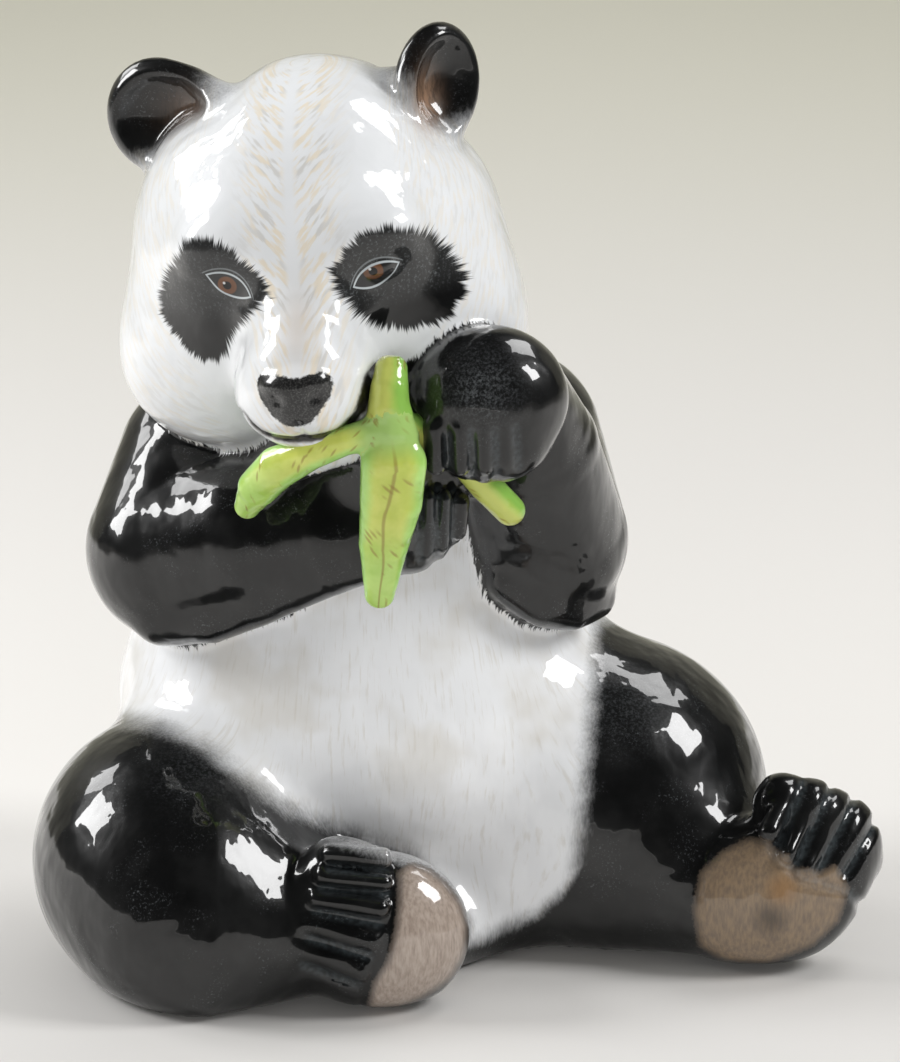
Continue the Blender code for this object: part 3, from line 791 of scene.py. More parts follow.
def cut_base(figure):
    """A flat resting face at height zero."""
    work = bmesh.new()
    work.from_mesh(figure.data)
    for vertex in work.verts:
        if abs(vertex.co.z) < BASE_SNAP:
            vertex.co.z = 0.0
    everything = work.verts[:] + work.edges[:] + work.faces[:]
    cut = bmesh.ops.bisect_plane(
        work, geom=everything, dist=1e-6, plane_co=(0, 0, 0), plane_no=(0, 0, 1), clear_inner=True
    )
    rim = [e for e in cut["geom_cut"] if isinstance(e, bmesh.types.BMEdge)]
    rim = [e for e in rim if e.is_valid and e.is_boundary]
    bmesh.ops.edgeloop_fill(work, edges=rim)
    bmesh.ops.triangulate(work, faces=[f for f in work.faces if len(f.verts) > 3])
    bmesh.ops.recalc_face_normals(work, faces=work.faces)
    for face in work.faces:
        face.smooth = face.normal.z > FACING_DOWN
    work.to_mesh(figure.data)
    work.free()


# The fine model


class Sampler:
    """Reads a grid's field and its slope at any point."""

    def __init__(self, grid):
        self.grid = grid
        self.slopes = [g.astype(np.float32) for g in np.gradient(grid.values.astype(np.float32), grid.step)]

    def read(self, block, p):
        q = (p - self.grid.low) / self.grid.step
        first = np.clip(np.floor(q).astype(int), 0, np.array(block.shape) - 2)
        t = q - first
        total = 0.0
        for corner in CORNERS:
            weight = np.prod([t[:, n] if corner[n] else 1.0 - t[:, n] for n in range(3)], axis=0)
            total = total + weight * block[tuple(first[:, n] + corner[n] for n in range(3))]
        return total

    def slope(self, p):
        return np.stack([self.read(s, p) for s in self.slopes], axis=1)

    def settle(self, p, rounds=2, longest=0.4):
        """Points moved onto the surface along the slope, no further than the longest step each time."""
        for _ in range(rounds):
            g = self.slope(p)
            step = self.read(self.grid.values, p) / np.maximum((g * g).sum(axis=1), 0.05)
            p = p - g * np.clip(step, -longest, longest)[:, None]
        return p

    def normals(self, p):
        g = self.slope(p)
        return g / np.maximum(np.linalg.norm(g, axis=1), 1e-6)[:, None]


def kneaded(masses, p):
    """The field of several masses at the points."""
    clay = np.full(len(p), 1000.0)
    for mass in masses:
        clay = melt(clay, mass.field(p), mass.blend)
    return clay


def place(p):
    """A point of the drawing in metres, in the shared frame."""
    return (np.asarray(p, float) - MIDDLE) * FACTOR * (FIGURE_HEIGHT / DRAWING_HEIGHT)


def fine_mesh(name, grid, triangles):
    """A mesh of the grid's surface, thinned and settled back onto it; also its points and their normals."""
    points, faces = skin(grid)
    piece = new_object(name, points, faces)
    simplify(piece, triangles)
    if points[:, 2].min() < 0.0:
        cut_base(piece)
    flat = np.empty(len(piece.data.vertices) * 3)
    piece.data.vertices.foreach_get("co", flat)
    on_drawing = flat.reshape(-1, 3)
    sampler = Sampler(grid)
    above = on_drawing[:, 2] > 0.01
    on_drawing[above] = sampler.settle(on_drawing[above])
    on_drawing[:, 2] = np.maximum(on_drawing[:, 2], 0.0)
    return piece, on_drawing, sampler.normals(on_drawing)


def squeezed(p, low, high, inner=0.00004):
    """Points brought inside the solid's box, where they pass it by a hair."""
    own_low, own_high = p.min(axis=0), p.max(axis=0)
    want_low = np.maximum(own_low, low + inner)
    want_high = np.minimum(own_high, high - inner)
    return want_low + (p - own_low) * (want_high - want_low) / (own_high - own_low)


def write_points(piece, points, normals):
    """Final places and smooth normals; the resting face keeps one normal, straight down."""
    mesh = piece.data
    mesh.vertices.foreach_set("co", points.astype(np.float32).ravel())
    mesh.polygons.foreach_set("use_smooth", np.ones(len(mesh.polygons), bool))
    mesh.update()
    corner = np.empty(len(mesh.loops), int)
    mesh.loops.foreach_get("vertex_index", corner)
    at_corner = normals[corner]
    face_normals = np.empty(len(mesh.polygons) * 3)
    mesh.polygons.foreach_get("normal", face_normals)
    counts = np.empty(len(mesh.polygons), int)
    mesh.polygons.foreach_get("loop_total", counts)
    base = np.repeat(face_normals.reshape(-1, 3)[:, 2] < FACING_DOWN, counts)
    at_corner[base] = (0.0, 0.0, -1.0)
    mesh.normals_split_custom_set(at_corner.tolist())


def give(piece, name, values):
    """A named number, or three of them, at every point of the piece."""
    values = np.asarray(values, np.float32)
    kind = "FLOAT" if values.ndim == 1 else "FLOAT_VECTOR"
    layer = piece.data.attributes.new(name, kind, "POINT")
    layer.data.foreach_set("value" if kind == "FLOAT" else "vector", values.ravel())


# Where the paint goes

# Outlines of the eye patches and the nose pad, in the head's own millimetres: sideways and up
PATCH_NEAR = [
    (-24.4, 19.5), (-19.1, 20.2), (-14.2, 18.4), (-10.0, 14.0), (-5.9, 10.2), (-3.2, 6.3),
    (-6.4, 3.2), (-10.3, 0.0), (-15.4, -5.4), (-20.0, -12.8), (-24.6, -15.2), (-29.4, -12.6),
    (-33.0, -8.4), (-36.2, -3.6), (-37.0, 1.5), (-33.4, 8.2), (-28.0, 15.0),
]
PATCH_FAR = [
    (12.2, 4.9), (12.5, 10.0), (16.8, 14.8), (22.2, 17.6), (27.6, 17.8), (32.8, 14.8), (36.6, 9.2),
    (40.0, 2.6), (42.4, -3.7), (41.4, -7.9), (37.8, -11.0), (32.4, -12.6), (26.4, -12.0),
    (20.7, -9.4), (17.4, -4.4), (15.2, 0.4),
]
NOSE_PAD = [
    (-8.0, -12.2), (-7.2, -10.8), (-3.9, -9.8), (-0.3, -10.4), (2.7, -11.0), (5.9, -10.7),
    (9.1, -10.8), (10.9, -12.6), (11.3, -15.1), (10.1, -18.0), (7.4, -21.0), (4.4, -23.6),
    (1.4, -24.6), (-1.8, -23.8), (-4.9, -21.2), (-7.0, -18.0), (-8.1, -15.1),
]

# Eyes, in the head's own millimetres: outer corner, inner corner; then half the opening's sizes
EYE_NEAR = ((-20.9, -46.5, 10.4), (-9.2, -50.7, 4.4))
EYE_FAR = ((28.6, -41.8, 7.0), (16.0, -48.8, 3.4))
EYE_HALF_LENGTH = 6.6
EYE_HALF_HEIGHT = 3.1

# Middles of the irises, in the head's own millimetres
IRIS_NEAR = (-15.5, -47.4, 7.2)
IRIS_FAR = (21.9, -46.9, 6.6)

# Outlines and middles of the soles, on the drawing, and the plane that parts the two feet
SOLE_NEAR = [
    (-13.9, -59.2, 38.4), (-10.4, -55.9, 40.0), (-5.2, -54.6, 38.0), (-0.6, -54.8, 34.0),
    (3.6, -54.2, 28.0), (5.4, -55.4, 21.7), (4.6, -57.8, 14.0), (0.5, -61.6, 8.5),
    (-6.5, -63.1, 4.4), (-13.0, -63.8, 1.2), (-22.3, -68.1, 2.0), (-21.4, -68.1, 6.3),
    (-20.2, -69.6, 11.8), (-16.6, -69.4, 17.8), (-14.8, -67.8, 24.9), (-14.0, -64.0, 31.7),
]
SOLE_FAR = [
    (78.2, -29.2, 37.5), (71.4, -29.6, 33.8), (65.5, -31.5, 28.3), (63.7, -33.0, 17.9),
    (65.6, -31.1, 7.0), (72.9, -29.6, 1.9), (84.3, -30.0, 1.6), (96.3, -31.5, 7.2),
    (103.3, -32.0, 14.4), (106.0, -32.4, 24.1), (101.7, -34.6, 32.2), (97.5, -34.6, 30.0),
    (93.8, -35.2, 31.3), (90.9, -34.2, 30.9), (89.0, -33.9, 34.8), (86.8, -32.5, 34.8),
    (83.9, -31.3, 37.7),
]
SOLE_MIDDLE_NEAR = (-6.0, -64.0, 20.0)
SOLE_MIDDLE_FAR = (84.5, -35.0, 18.0)
BETWEEN_FEET = 40.0

# Edge of the black on the near leg, seen from the front, from the flank down to the foot and round below
LEG_NEAR = [
    (-88.1, 1.6, 62.0), (-76.5, -22.0, 66.9), (-62.9, -32.9, 64.1), (-53.6, -38.9, 57.8),
    (-41.9, -38.2, 49.3), (-29.0, -31.3, 41.3), (-13.3, -25.2, 33.6), (-2.7, -23.1, 28.1),
    (3.0, -27.5, 20.0), (8.0, -30.0, 6.0), (14.0, -30.0, -20.0), (-140.0, -30.0, -20.0),
    (-140.0, 0.0, 62.0),
]

# Black hem along the base between the legs: its height at places from left to right
HEM_PLACES = [0.0, 6.0, 13.0, 23.0, 30.0, 36.0]
HEM_HEIGHTS = [9.0, 9.5, 10.0, 14.0, 22.0, 34.0]

# The black band that joins the arms across the back, and half its width
SHOULDER_BAND = [
    (-68.0, 14.0, 134.0), (-50.0, 46.0, 138.0), (-25.0, 60.0, 140.0), (2.0, 52.0, 139.0), (20.0, 18.0, 136.0),
]
BAND_HALF_WIDTH = 21.0

# Soft spots of colour: strength, middle and radii. The bridge of the nose is in the head's own place
EAR_BROWNS = [
    (1.0, (-6.6, -14.0, 230.5), (3.6, 9.0, 8.0)),
    (0.30, (-67.5, -4.0, 227.0), (8.0, 8.0, 6.0)),
]
POWDERED_SPOTS = [
    (1.0, (7.5, -62.0, 169.0), (9.0, 12.0, 8.0)),
    (0.5, (-60.0, -45.0, 64.0), (16.0, 20.0, 9.0)),
    (0.5, (48.0, -20.0, 70.0), (14.0, 20.0, 9.0)),
]
NOSE_BRIDGE = [(1.0, (3.5, -62.0, -1.0), (3.6, 20.0, 7.5))]

# Brushwork parts at this line of the head; angles round head and body become millimetres by these radii
PARTING = 3.0
HEAD_WRAP = 50.0
BODY_WRAP = 56.0

# The depth that the mouth line counts for little in, and the value of a distance where its paint can't be
LIP_FLATTEN = np.array([1.0, 0.2, 1.0])
NOWHERE = -20.0


def on_sheet(p):
    """Sideways and upward place of points as pressed flat along the marks' direction."""
    up = np.array([0.0, math.sin(PRESS_SLOPE), math.cos(PRESS_SLOPE)])
    p = np.asarray(p, float)
    return np.stack([p[..., 0], p @ up], axis=-1)


def inside_by(outline, q):
    """Signed distance of flat points q to a closed outline: above zero inside."""
    outline = np.asarray(outline, float)
    best = np.full(len(q), 1e9)
    inside = np.zeros(len(q), bool)
    for a, b in zip(outline, np.roll(outline, -1, axis=0)):
        step = b - a
        t = np.clip(((q - a) @ step) / (step @ step), 0.0, 1.0)
        best = np.minimum(best, np.linalg.norm(q - a - t[:, None] * step, axis=1))
        crosses = (a[1] > q[:, 1]) != (b[1] > q[:, 1])
        where = a[0] + (q[:, 1] - a[1]) * step[0] / np.where(abs(step[1]) < 1e-9, 1e-9, step[1])
        inside ^= crosses & (q[:, 0] < where)
    return np.where(inside, best, -best)


def near(path, p):
    """Distance from the points to a path."""
    points = [np.array(c, float) for c in path]
    return nearest_on_path(points, [0.0] * len(points), p)[0]


def ramp(values, start, length):
    """Zero up to the start, one past the length after it."""
    return np.clip((values - start) / length, 0.0, 1.0)


def blots(p, spots):
    """Soft spots: full strength at each middle, fading to nothing over its radii."""
    total = 0.0
    for strength, middle, radii in spots:
        away = (p - np.array(middle)) / np.array(radii)
        total = total + strength * np.exp(-(away**2).sum(axis=1))
    return total


def head_place(p):
    """Points in the head's own millimetres."""
    return (p - np.array(HEAD_CENTRE)) @ head_frame()


def eye_place(q, corners):
    """Place along an eye from its middle, across it, and distance from its middle, in millimetres."""
    outer, inner = (np.array(c, float) for c in corners)
    along = (inner - outer) / np.linalg.norm(inner - outer)
    middle = (inner + outer) / 2.0
    forward = np.array([0.0, -1.0, 0.0]) + 0.5 * np.array([middle[0] / 48.0, 0.0, 0.0])
    across = np.cross(forward, along)
    across /= np.linalg.norm(across)
    across *= math.copysign(1.0, across[2])
    off = q - middle
    return np.stack([off @ along, off @ across, np.linalg.norm(off, axis=-1)], axis=1)


def leg_black(p, field):
    """Distance inside the black of legs and hem: drawn in front, along the joins with the body behind."""
    body, leg_near, leg_far = field["body"], field["leg_near"], field["leg_far"]
    front = inside_by(on_sheet(LEG_NEAR), on_sheet(p))
    back = (body - leg_near) / 2.0 - 1.0
    behind = ramp(p[:, 1], -5.0, 20.0)
    near_black = np.minimum(front * (1.0 - behind) + back * behind, 12.0 - np.maximum(leg_near, 0.0))
    far_front = np.minimum(p[:, 0] - 29.0 - 0.11 * p[:, 2], 92.0 - p[:, 2])
    far_back = np.minimum((body - leg_far) / 2.0 - 1.0, 12.0 - np.maximum(leg_far, 0.0))
    far_behind = ramp(p[:, 1], 10.0, 20.0)
    far_black = far_front * (1.0 - far_behind) + far_back * far_behind
    rims = 1.2 - np.minimum(field["near_foot"], field["far_foot"])
    hem = np.interp(p[:, 0], HEM_PLACES, HEM_HEIGHTS) - p[:, 2]
    hem = np.where((p[:, 1] < 10.0) & (p[:, 0] > -4.0), hem, NOWHERE)
    return np.maximum(np.maximum(near_black, far_black), np.maximum(rims, hem))


def write_black(piece, p, field):
    """Distance inside all the black, and how crisp its edge is: hairs at the arms, soft elsewhere."""
    body, skull, arms, both_ears = field["body"], field["head"], field["arms"], field["ears"]
    rest = np.minimum(np.minimum(body, skull), np.minimum(field["leg_near"], field["leg_far"]))
    arm = (rest - arms) / 2.0
    band = np.minimum(BAND_HALF_WIDTH - near(SHOULDER_BAND, p), (skull - body) * 0.5 + 1.0)
    ear_black = (skull - both_ears) / 2.0 + 0.6
    black = np.maximum(np.maximum(arm, band), np.maximum(leg_black(p, field), ear_black))
    on_head = skull < np.minimum(np.minimum(body, arms), both_ears - 2.4)
    black = np.where(on_head, np.maximum(arm, ear_black), black)
    give(piece, "black", np.clip(black, -30, 30))
    give(piece, "crisp", np.clip(1.0 - np.abs(arm - black) / 2.0, 0, 1))


def write_face(piece, q, field):
    """Eye patches, eyes, nose pad and mouth line, at points in the head's own place."""
    flat = q[:, [0, 2]]
    in_near, in_far = inside_by(PATCH_NEAR, flat), inside_by(PATCH_FAR, flat)
    shown = (q[:, 1] < -18.0) & (field["arms"] >= field["head"] - 1.0)
    give(piece, "patch", np.where(shown, np.maximum(in_near, in_far), NOWHERE))
    is_near = (in_near > in_far)[:, None]
    from_middle = np.where(is_near, flat - np.mean(PATCH_NEAR, axis=0), flat - np.mean(PATCH_FAR, axis=0))
    give(piece, "patch_place", np.concatenate([from_middle, is_near * 40.0], axis=1))
    at_near, at_far = eye_place(q, EYE_NEAR), eye_place(q, EYE_FAR)
    closer_near = (at_near[:, 2] < at_far[:, 2])[:, None]
    give(piece, "eye", np.where(closer_near, at_near, at_far))
    give(piece, "iris", q - np.where(closer_near, IRIS_NEAR, IRIS_FAR))
    give(piece, "nose", np.where(q[:, 1] < -60.0, inside_by(NOSE_PAD, flat), NOWHERE))
    lips = [head_place(np.array(c)) * LIP_FLATTEN for c in mouth_path()]
    give(piece, "mouth", near(lips, q * LIP_FLATTEN))


def write_soles(piece, p, field):
    """Distance inside the soles, which foot a point belongs to, and its place from the sole's middle."""
    sheet = on_sheet(p)
    on_foot = 6.0 - 2.0 * np.maximum(field["near_foot"], 0)
    sole_near = np.minimum(inside_by(on_sheet(SOLE_NEAR), sheet), on_foot)
    sole_near = np.where(p[:, 1] < -30.0, sole_near, NOWHERE)
    shown = (p[:, 1] < -16.0) & (field["far_foot"] < 4.0)
    sole_far = np.where(shown, inside_by(on_sheet(SOLE_FAR), sheet), NOWHERE)
    give(piece, "sole", np.maximum(sole_near, sole_far))
    far_side = p[:, 0] > BETWEEN_FEET
    give(piece, "far_side", far_side.astype(float))
    give(piece, "sole_place", p - np.where(far_side[:, None], SOLE_MIDDLE_FAR, SOLE_MIDDLE_NEAR))


def write_tints(piece, p, q, forms):
    """Grooves between toes and fingers, and the soft spots of colour."""
    groove = np.zeros(len(p))
    for name in ("near_foot", "far_foot", "resting_arm", "raised_arm"):
        for mark in forms[name].marks:
            if mark.width in (TOE_GROOVE[0], FINGER_GROOVE[0]):
                groove = np.maximum(groove, np.clip(mark.field(p) / mark.depth, 0.0, 1.0))
    give(piece, "groove", groove)
    give(piece, "ear_brown", blots(p, EAR_BROWNS))
    give(piece, "speckled", blots(p, POWDERED_SPOTS))
    give(piece, "bridge", blots(q, NOSE_BRIDGE))


def write_brushwork(piece, p, q, field):
    """The sheets that brushwork runs along: round and up the head, round and up the body."""
    sideways = q[:, 0] - PARTING
    turn = np.arctan2(sideways, -q[:, 1])
    rise = np.arctan2(q[:, 2], np.hypot(sideways, q[:, 1]))
    on_head = np.clip((field["body"] - field["head"]) / 6.0 + 0.5, 0.0, 1.0)
    sideways = sideways + (turn * HEAD_WRAP - sideways) * ramp(np.abs(sideways), 18.0, 12.0)
    give(piece, "head_place", np.stack([sideways, rise * HEAD_WRAP, on_head], axis=1))
    around = np.arctan2(p[:, 0] + 22.0, 22.0 - p[:, 1]) * BODY_WRAP
    give(piece, "body_place", np.stack([around, p[:, 2], np.zeros(len(p))], axis=1))


def paint_panda(piece, p):
    """Writes where each colour goes, as distances in the drawing's millimetres."""
    forms = dict(zip(FORM_NAMES, figure_forms()))
    field = {name: kneaded(form.masses, p) for name, form in forms.items() if name != "bamboo"}
    field["body"] = kneaded(trunk(), p)
    field["leg_near"] = np.minimum(kneaded(near_leg(), p), field["near_foot"])
    field["leg_far"] = np.minimum(kneaded(far_leg(), p), field["far_foot"])
    field["arms"] = np.minimum(field["resting_arm"], field["raised_arm"])
    field["ears"] = np.minimum(field["ear_near"], field["ear_far"])
    q = head_place(p)
    write_black(piece, p, field)
    write_face(piece, q, field)
    write_soles(piece, p, field)
    write_tints(piece, p, q, forms)
    write_brushwork(piece, p, q, field)


def leaf_place(path, p):
    """Way along a leaf or the stalk from its start, and across it as a share of its half width."""
    points = [np.array(c[:3], float) for c in path]
    radii = [c[3] for c in path]
    start = 0.0
    closest = np.full(len(p), 1e9)
    along, across = np.zeros(len(p)), np.zeros(len(p))
    for n, (a, b) in enumerate(zip(points, points[1:])):
        step = b - a
        length = np.linalg.norm(step)
        t = np.clip(((p - a) @ step) / (step @ step), 0.0, 1.0)
        off = p - a - t[:, None] * step
        distance = np.linalg.norm(off, axis=1)
        sideways = np.cross(step / length, np.array(PRESS))
        sideways /= np.linalg.norm(sideways)
        half_width = np.maximum(radii[n] + (radii[n + 1] - radii[n]) * t, 1.0)
        here = distance < closest
        closest = np.where(here, distance, closest)
        across = np.where(here, (off @ sideways) / half_width, across)
        along = np.where(here, start + t * length, along)
        start += length
    return along, across


def paint_sprig(piece, p):
    """Writes where along and across its leaf a point lies, and which it is: hanging, side or the stalk."""
    best = None
    for number, path in enumerate((*leaf_paths(), stalk_path())):
        d, _ = nearest_on_path([np.array(c[:3], float) for c in path], [c[3] for c in path], p)
        values = np.stack([*leaf_place(path, p), np.full(len(p), float(number))], axis=1)
        if best is None:
            best, lead = values, d
        else:
            best = np.where((d < lead)[:, None], values, best)
            lead = np.minimum(lead, d)
    give(piece, "leaf", best)


# Glazes


class Shader:
    """A material's node tree, built a step at a time."""

    def __init__(self, name):
        self.material = bpy.data.materials.new(name)
        self.material.use_nodes = True
        self.tree = self.material.node_tree
        self.surface = self.tree.nodes["Principled BSDF"]

    def node(self, kind, **settings):
        made = self.tree.nodes.new(kind)
        for key, value in settings.items():
            setattr(made, key, value)
        return made

    def put(self, socket, value):
        """Links a socket, or sets a plain value on it."""
        if isinstance(value, bpy.types.NodeSocket):
            self.tree.links.new(value, socket)
        else:
            socket.default_value = value

    def number(self, name):
        return self.node("ShaderNodeAttribute", attribute_name=name).outputs["Fac"]

    def place(self, name):
        return self.node("ShaderNodeAttribute", attribute_name=name).outputs["Vector"]

    def object_place(self):
        return self.node("ShaderNodeTexCoord").outputs["Object"]

    def millimetres(self):
        return self.scaled(self.object_place(), 1000.0, 1000.0, 1000.0)

    def split(self, vector):
        made = self.node("ShaderNodeSeparateXYZ")
        self.put(made.inputs[0], vector)
        return made.outputs[0], made.outputs[1], made.outputs[2]

    def join(self, x, y, z=0.0):
        made = self.node("ShaderNodeCombineXYZ")
        for socket, value in zip(made.inputs, (x, y, z)):
            self.put(socket, value)
        return made.outputs[0]

    def calc(self, operation, a, b=0.0):
        made = self.node("ShaderNodeMath", operation=operation)
        for socket, value in zip(made.inputs, (a, b)):
            self.put(socket, value)
        return made.outputs[0]

    def plus(self, first, *others):
        for other in others:
            first = self.calc("ADD", first, other)
        return first

    def minus(self, a, b):
        return self.calc("SUBTRACT", a, b)

    def times(self, first, *others):
        for other in others:
            first = self.calc("MULTIPLY", first, other)
        return first

    def over(self, a, b):
        return self.calc("DIVIDE", a, b)

    def size(self, a):
        return self.calc("ABSOLUTE", a)

    def away(self, x, y):
        """Distance of a flat place from nought."""
        return self.calc("SQRT", self.plus(self.times(x, x), self.times(y, y)))

    def step(self, value, low, high):
        """Zero below low, one above high, smooth between."""
        made = self.node("ShaderNodeMapRange", interpolation_type="SMOOTHSTEP")
        self.put(made.inputs["Value"], value)
        self.put(made.inputs["From Min"], low)
        self.put(made.inputs["From Max"], high)
        return made.outputs[0]

    def scaled(self, vector, x, y, z):
        made = self.node("ShaderNodeVectorMath", operation="MULTIPLY")
        self.put(made.inputs[0], vector)
        made.inputs[1].default_value = (x, y, z)
        return made.outputs[0]

    def noise(self, vector, scale, detail=2.0, rough=0.5, twist=0.0):
        made = self.node("ShaderNodeTexNoise")
        self.put(made.inputs["Vector"], vector)
        made.inputs["Scale"].default_value = scale
        made.inputs["Detail"].default_value = detail
        made.inputs["Roughness"].default_value = rough
        made.inputs["Distortion"].default_value = twist
        return made.outputs["Fac"]

    def mixed(self, share, a, b):
        made = self.node("ShaderNodeMix", data_type="RGBA")
        self.put(made.inputs["Factor"], share)
        for socket, value in ((made.inputs[6], a), (made.inputs[7], b)):
            self.put(socket, (*value, 1.0) if isinstance(value, tuple) else value)
        return made.outputs[2]

    def strokes(self, along, across, length, width, share, thin):
        """Short brush strokes scattered over a sheet: one where a stroke lies, zero elsewhere."""
        cell = self.join(self.over(along, length), self.over(across, width))
        made = self.node("ShaderNodeTexVoronoi", voronoi_dimensions="2D", feature="F1")
        self.put(made.inputs["Vector"], cell)
        made.inputs["Scale"].default_value = 1.0
        made.inputs["Randomness"].default_value = 0.95
        _, _, pick = self.split(made.outputs["Color"])
        mark = self.step(made.outputs["Distance"], thin + 0.16, thin - 0.10)
        return self.times(mark, self.step(pick, 1.0 - share, 1.02 - share))

    def bump(self, height, distance, under=None):
        made = self.node("ShaderNodeBump")
        made.inputs["Strength"].default_value = 1.0
        made.inputs["Distance"].default_value = distance
        self.put(made.inputs["Height"], height)
        if under is not None:
            self.put(made.inputs["Normal"], under)
        return made.outputs["Normal"]

    def glazed(self, colour, normal):
        """Paint under a clear gloss."""
        surface = self.surface.inputs
        self.put(surface["Base Color"], colour)
        surface["Roughness"].default_value = 0.28
        surface["Specular IOR Level"].default_value = 0.15
        surface["Coat Weight"].default_value = 1.0
        surface["Coat Roughness"].default_value = 0.025
        surface["Coat IOR"].default_value = 1.5
        self.put(surface["Normal"], normal)
        self.put(surface["Coat Normal"], normal)


# Colours of the white fur
WHITE = (0.72, 0.735, 0.75)
# The body's white is painted lighter than the head's: painted light, lifting the body where less light
# reaches it
BODY_WHITE_PAINTED_LIGHTER = (0.80, 0.81, 0.825)
WARM_SHADE = (0.61, 0.58, 0.52)
BEIGE = (0.72, 0.60, 0.40)
GREY_STROKE = (0.50, 0.48, 0.44)
BRIDGE_BROWN = (0.56, 0.49, 0.42)

# Colours of the black fur
BLACK = (0.0045, 0.0047, 0.0048)
SOFT_BLACK = (0.020, 0.0205, 0.0205)
SPECKLE = (0.16, 0.172, 0.18)
HAIR_GREY = (0.28, 0.34, 0.37)
EAR_BROWN = (0.30, 0.185, 0.12)

# Colours of the face
IRIS_BROWN = (0.13, 0.055, 0.025)
PUPIL_BLACK = (0.002, 0.002, 0.002)
GLINT = (0.6, 0.6, 0.6)
EYE_RIM = (0.46, 0.50, 0.52)
LID_GREY = (0.30, 0.33, 0.34)
NOSE_BLACK = (0.012, 0.012, 0.012)
NOSE_GREY = (0.060, 0.060, 0.058)
LIP_GREY = (0.11, 0.10, 0.095)
LIP_BLACK = (0.012, 0.011, 0.010)

# Colours of the soles
NEAR_SOLE_PALE = (0.40, 0.335, 0.285)
NEAR_SOLE_DARK = (0.26, 0.205, 0.17)
FAR_SOLE_PALE = (0.25, 0.18, 0.115)
FAR_SOLE_DARK = (0.155, 0.118, 0.088)
SOLE_SPOT = (0.035, 0.027, 0.022)
SOLE_ORANGE = (0.28, 0.155, 0.065)
SOLE_EDGE = (0.04, 0.034, 0.030)

# Colours of the sprig
LEAF_YELLOWS = ((0.47, 0.55, 0.09), (0.60, 0.64, 0.15))
LEAF_GREENS = ((0.30, 0.56, 0.11), (0.43, 0.69, 0.19))
JOINT_GREEN = (0.34, 0.52, 0.15)
STALK_YELLOW = (0.52, 0.57, 0.13)
STALK_GREEN = (0.24, 0.46, 0.08)
RIB_BROWN = (0.26, 0.18, 0.04)
FLECK_BROWN = (0.25, 0.15, 0.03)


def white_fur(s, mm):
    """White, with strokes that run out from the parting of the head and streaks down the body; the body's
    white is painted lighter than the head's, as painted light.
    """
    turn, rise, on_head = s.split(s.place("head_place"))
    around, up, _ = s.split(s.place("body_place"))
    on_body = s.minus(1.0, on_head)
    side = s.size(turn)
    along = s.plus(s.times(rise, 0.77), s.times(side, 0.64))
    across = s.minus(s.times(rise, 0.64), s.times(side, 0.77))
    mark = s.step(s.noise(s.join(s.times(along, 0.16), s.times(across, 0.72)), 1.0), 0.45, 0.60)
    shade = s.noise(s.join(s.times(along, 0.12), s.times(across, 0.4), 9.0), 1.0, 1.0)
    tone = s.mixed(s.step(shade, 0.50, 0.60), BEIGE, GREY_STROKE)
    crown = s.times(s.step(side, 17.0, 6.0), s.step(side, 0.6, 2.5), s.step(s.noise(mm, 0.06), 0.20, 0.42))
    cheek = s.times(s.step(side, 30.0, 40.0), 0.40)
    stroked = s.times(s.calc("MAXIMUM", crown, cheek), on_head)
    broad = s.step(s.noise(mm, 0.035, 3.0, 0.6), 0.46, 0.66)
    shaded = s.times(broad, s.step(up, 35.0, 65.0), on_body)
    streak = s.noise(s.join(s.times(around, 0.9), s.times(up, 0.10)), 1.0, 3.0, 0.6)
    streak = s.times(s.step(streak, 0.52, 0.72), on_body)
    # painted light: the body gets a lighter white than the head
    ground = s.mixed(on_head, BODY_WHITE_PAINTED_LIGHTER, WHITE)
    ground = s.mixed(s.times(shaded, 0.50), ground, WARM_SHADE)
    ground = s.mixed(s.times(streak, 0.45), ground, WARM_SHADE)
    white = s.mixed(s.times(mark, stroked, 0.58), ground, tone)
    return s.mixed(s.times(s.number("bridge"), 0.55), white, BRIDGE_BROWN)


def black_fur(s, mm):
    """Clouded black with grey specks, thickest at the powdered spots."""
    cloud = s.step(s.noise(mm, 0.05, 4.0, 0.6), 0.40, 0.68)
    dark = s.mixed(s.times(cloud, 0.40), BLACK, SOFT_BLACK)
    grain = s.step(s.noise(mm, 1.6, 3.0, 0.7), 0.56, 0.72)
    dots = s.times(grain, s.step(s.noise(mm, 0.09), 0.48, 0.66))
    dark = s.mixed(s.times(dots, 0.45), dark, SPECKLE)
    powder = s.step(s.noise(mm, 1.3, 4.0, 0.75), 0.42, 0.70)
    return s.mixed(s.times(powder, s.number("speckled"), 0.60), dark, SPECKLE)


def in_black(s, mm):
    """One inside the black: tufts of hair along the arms' edge, a sponged fade elsewhere."""
    around, up, _ = s.split(s.place("body_place"))
    crisp = s.number("crisp")
    sponge = s.minus(1.0, crisp)
    hair = s.noise(s.scaled(mm, 1.5, 1.5, 0.30), 1.0, 3.0, 0.65)
    fray = s.times(s.minus(hair, 0.5), s.plus(1.0, s.times(sponge, 2.0)))
    drift = s.times(s.minus(s.noise(mm, 0.14), 0.5), s.times(sponge, 3.0))
    tufts = s.noise(s.join(s.times(around, 1.1), s.times(up, 0.15)), 1.0, 3.0, 0.7)
    tufts = s.times(s.minus(tufts, 0.45), s.times(crisp, 5.0))
    edge = s.plus(s.number("black"), fray, drift, tufts)
    width = s.plus(0.45, s.times(sponge, 4.0))
    return s.step(s.over(edge, width), -0.7, 1.0)


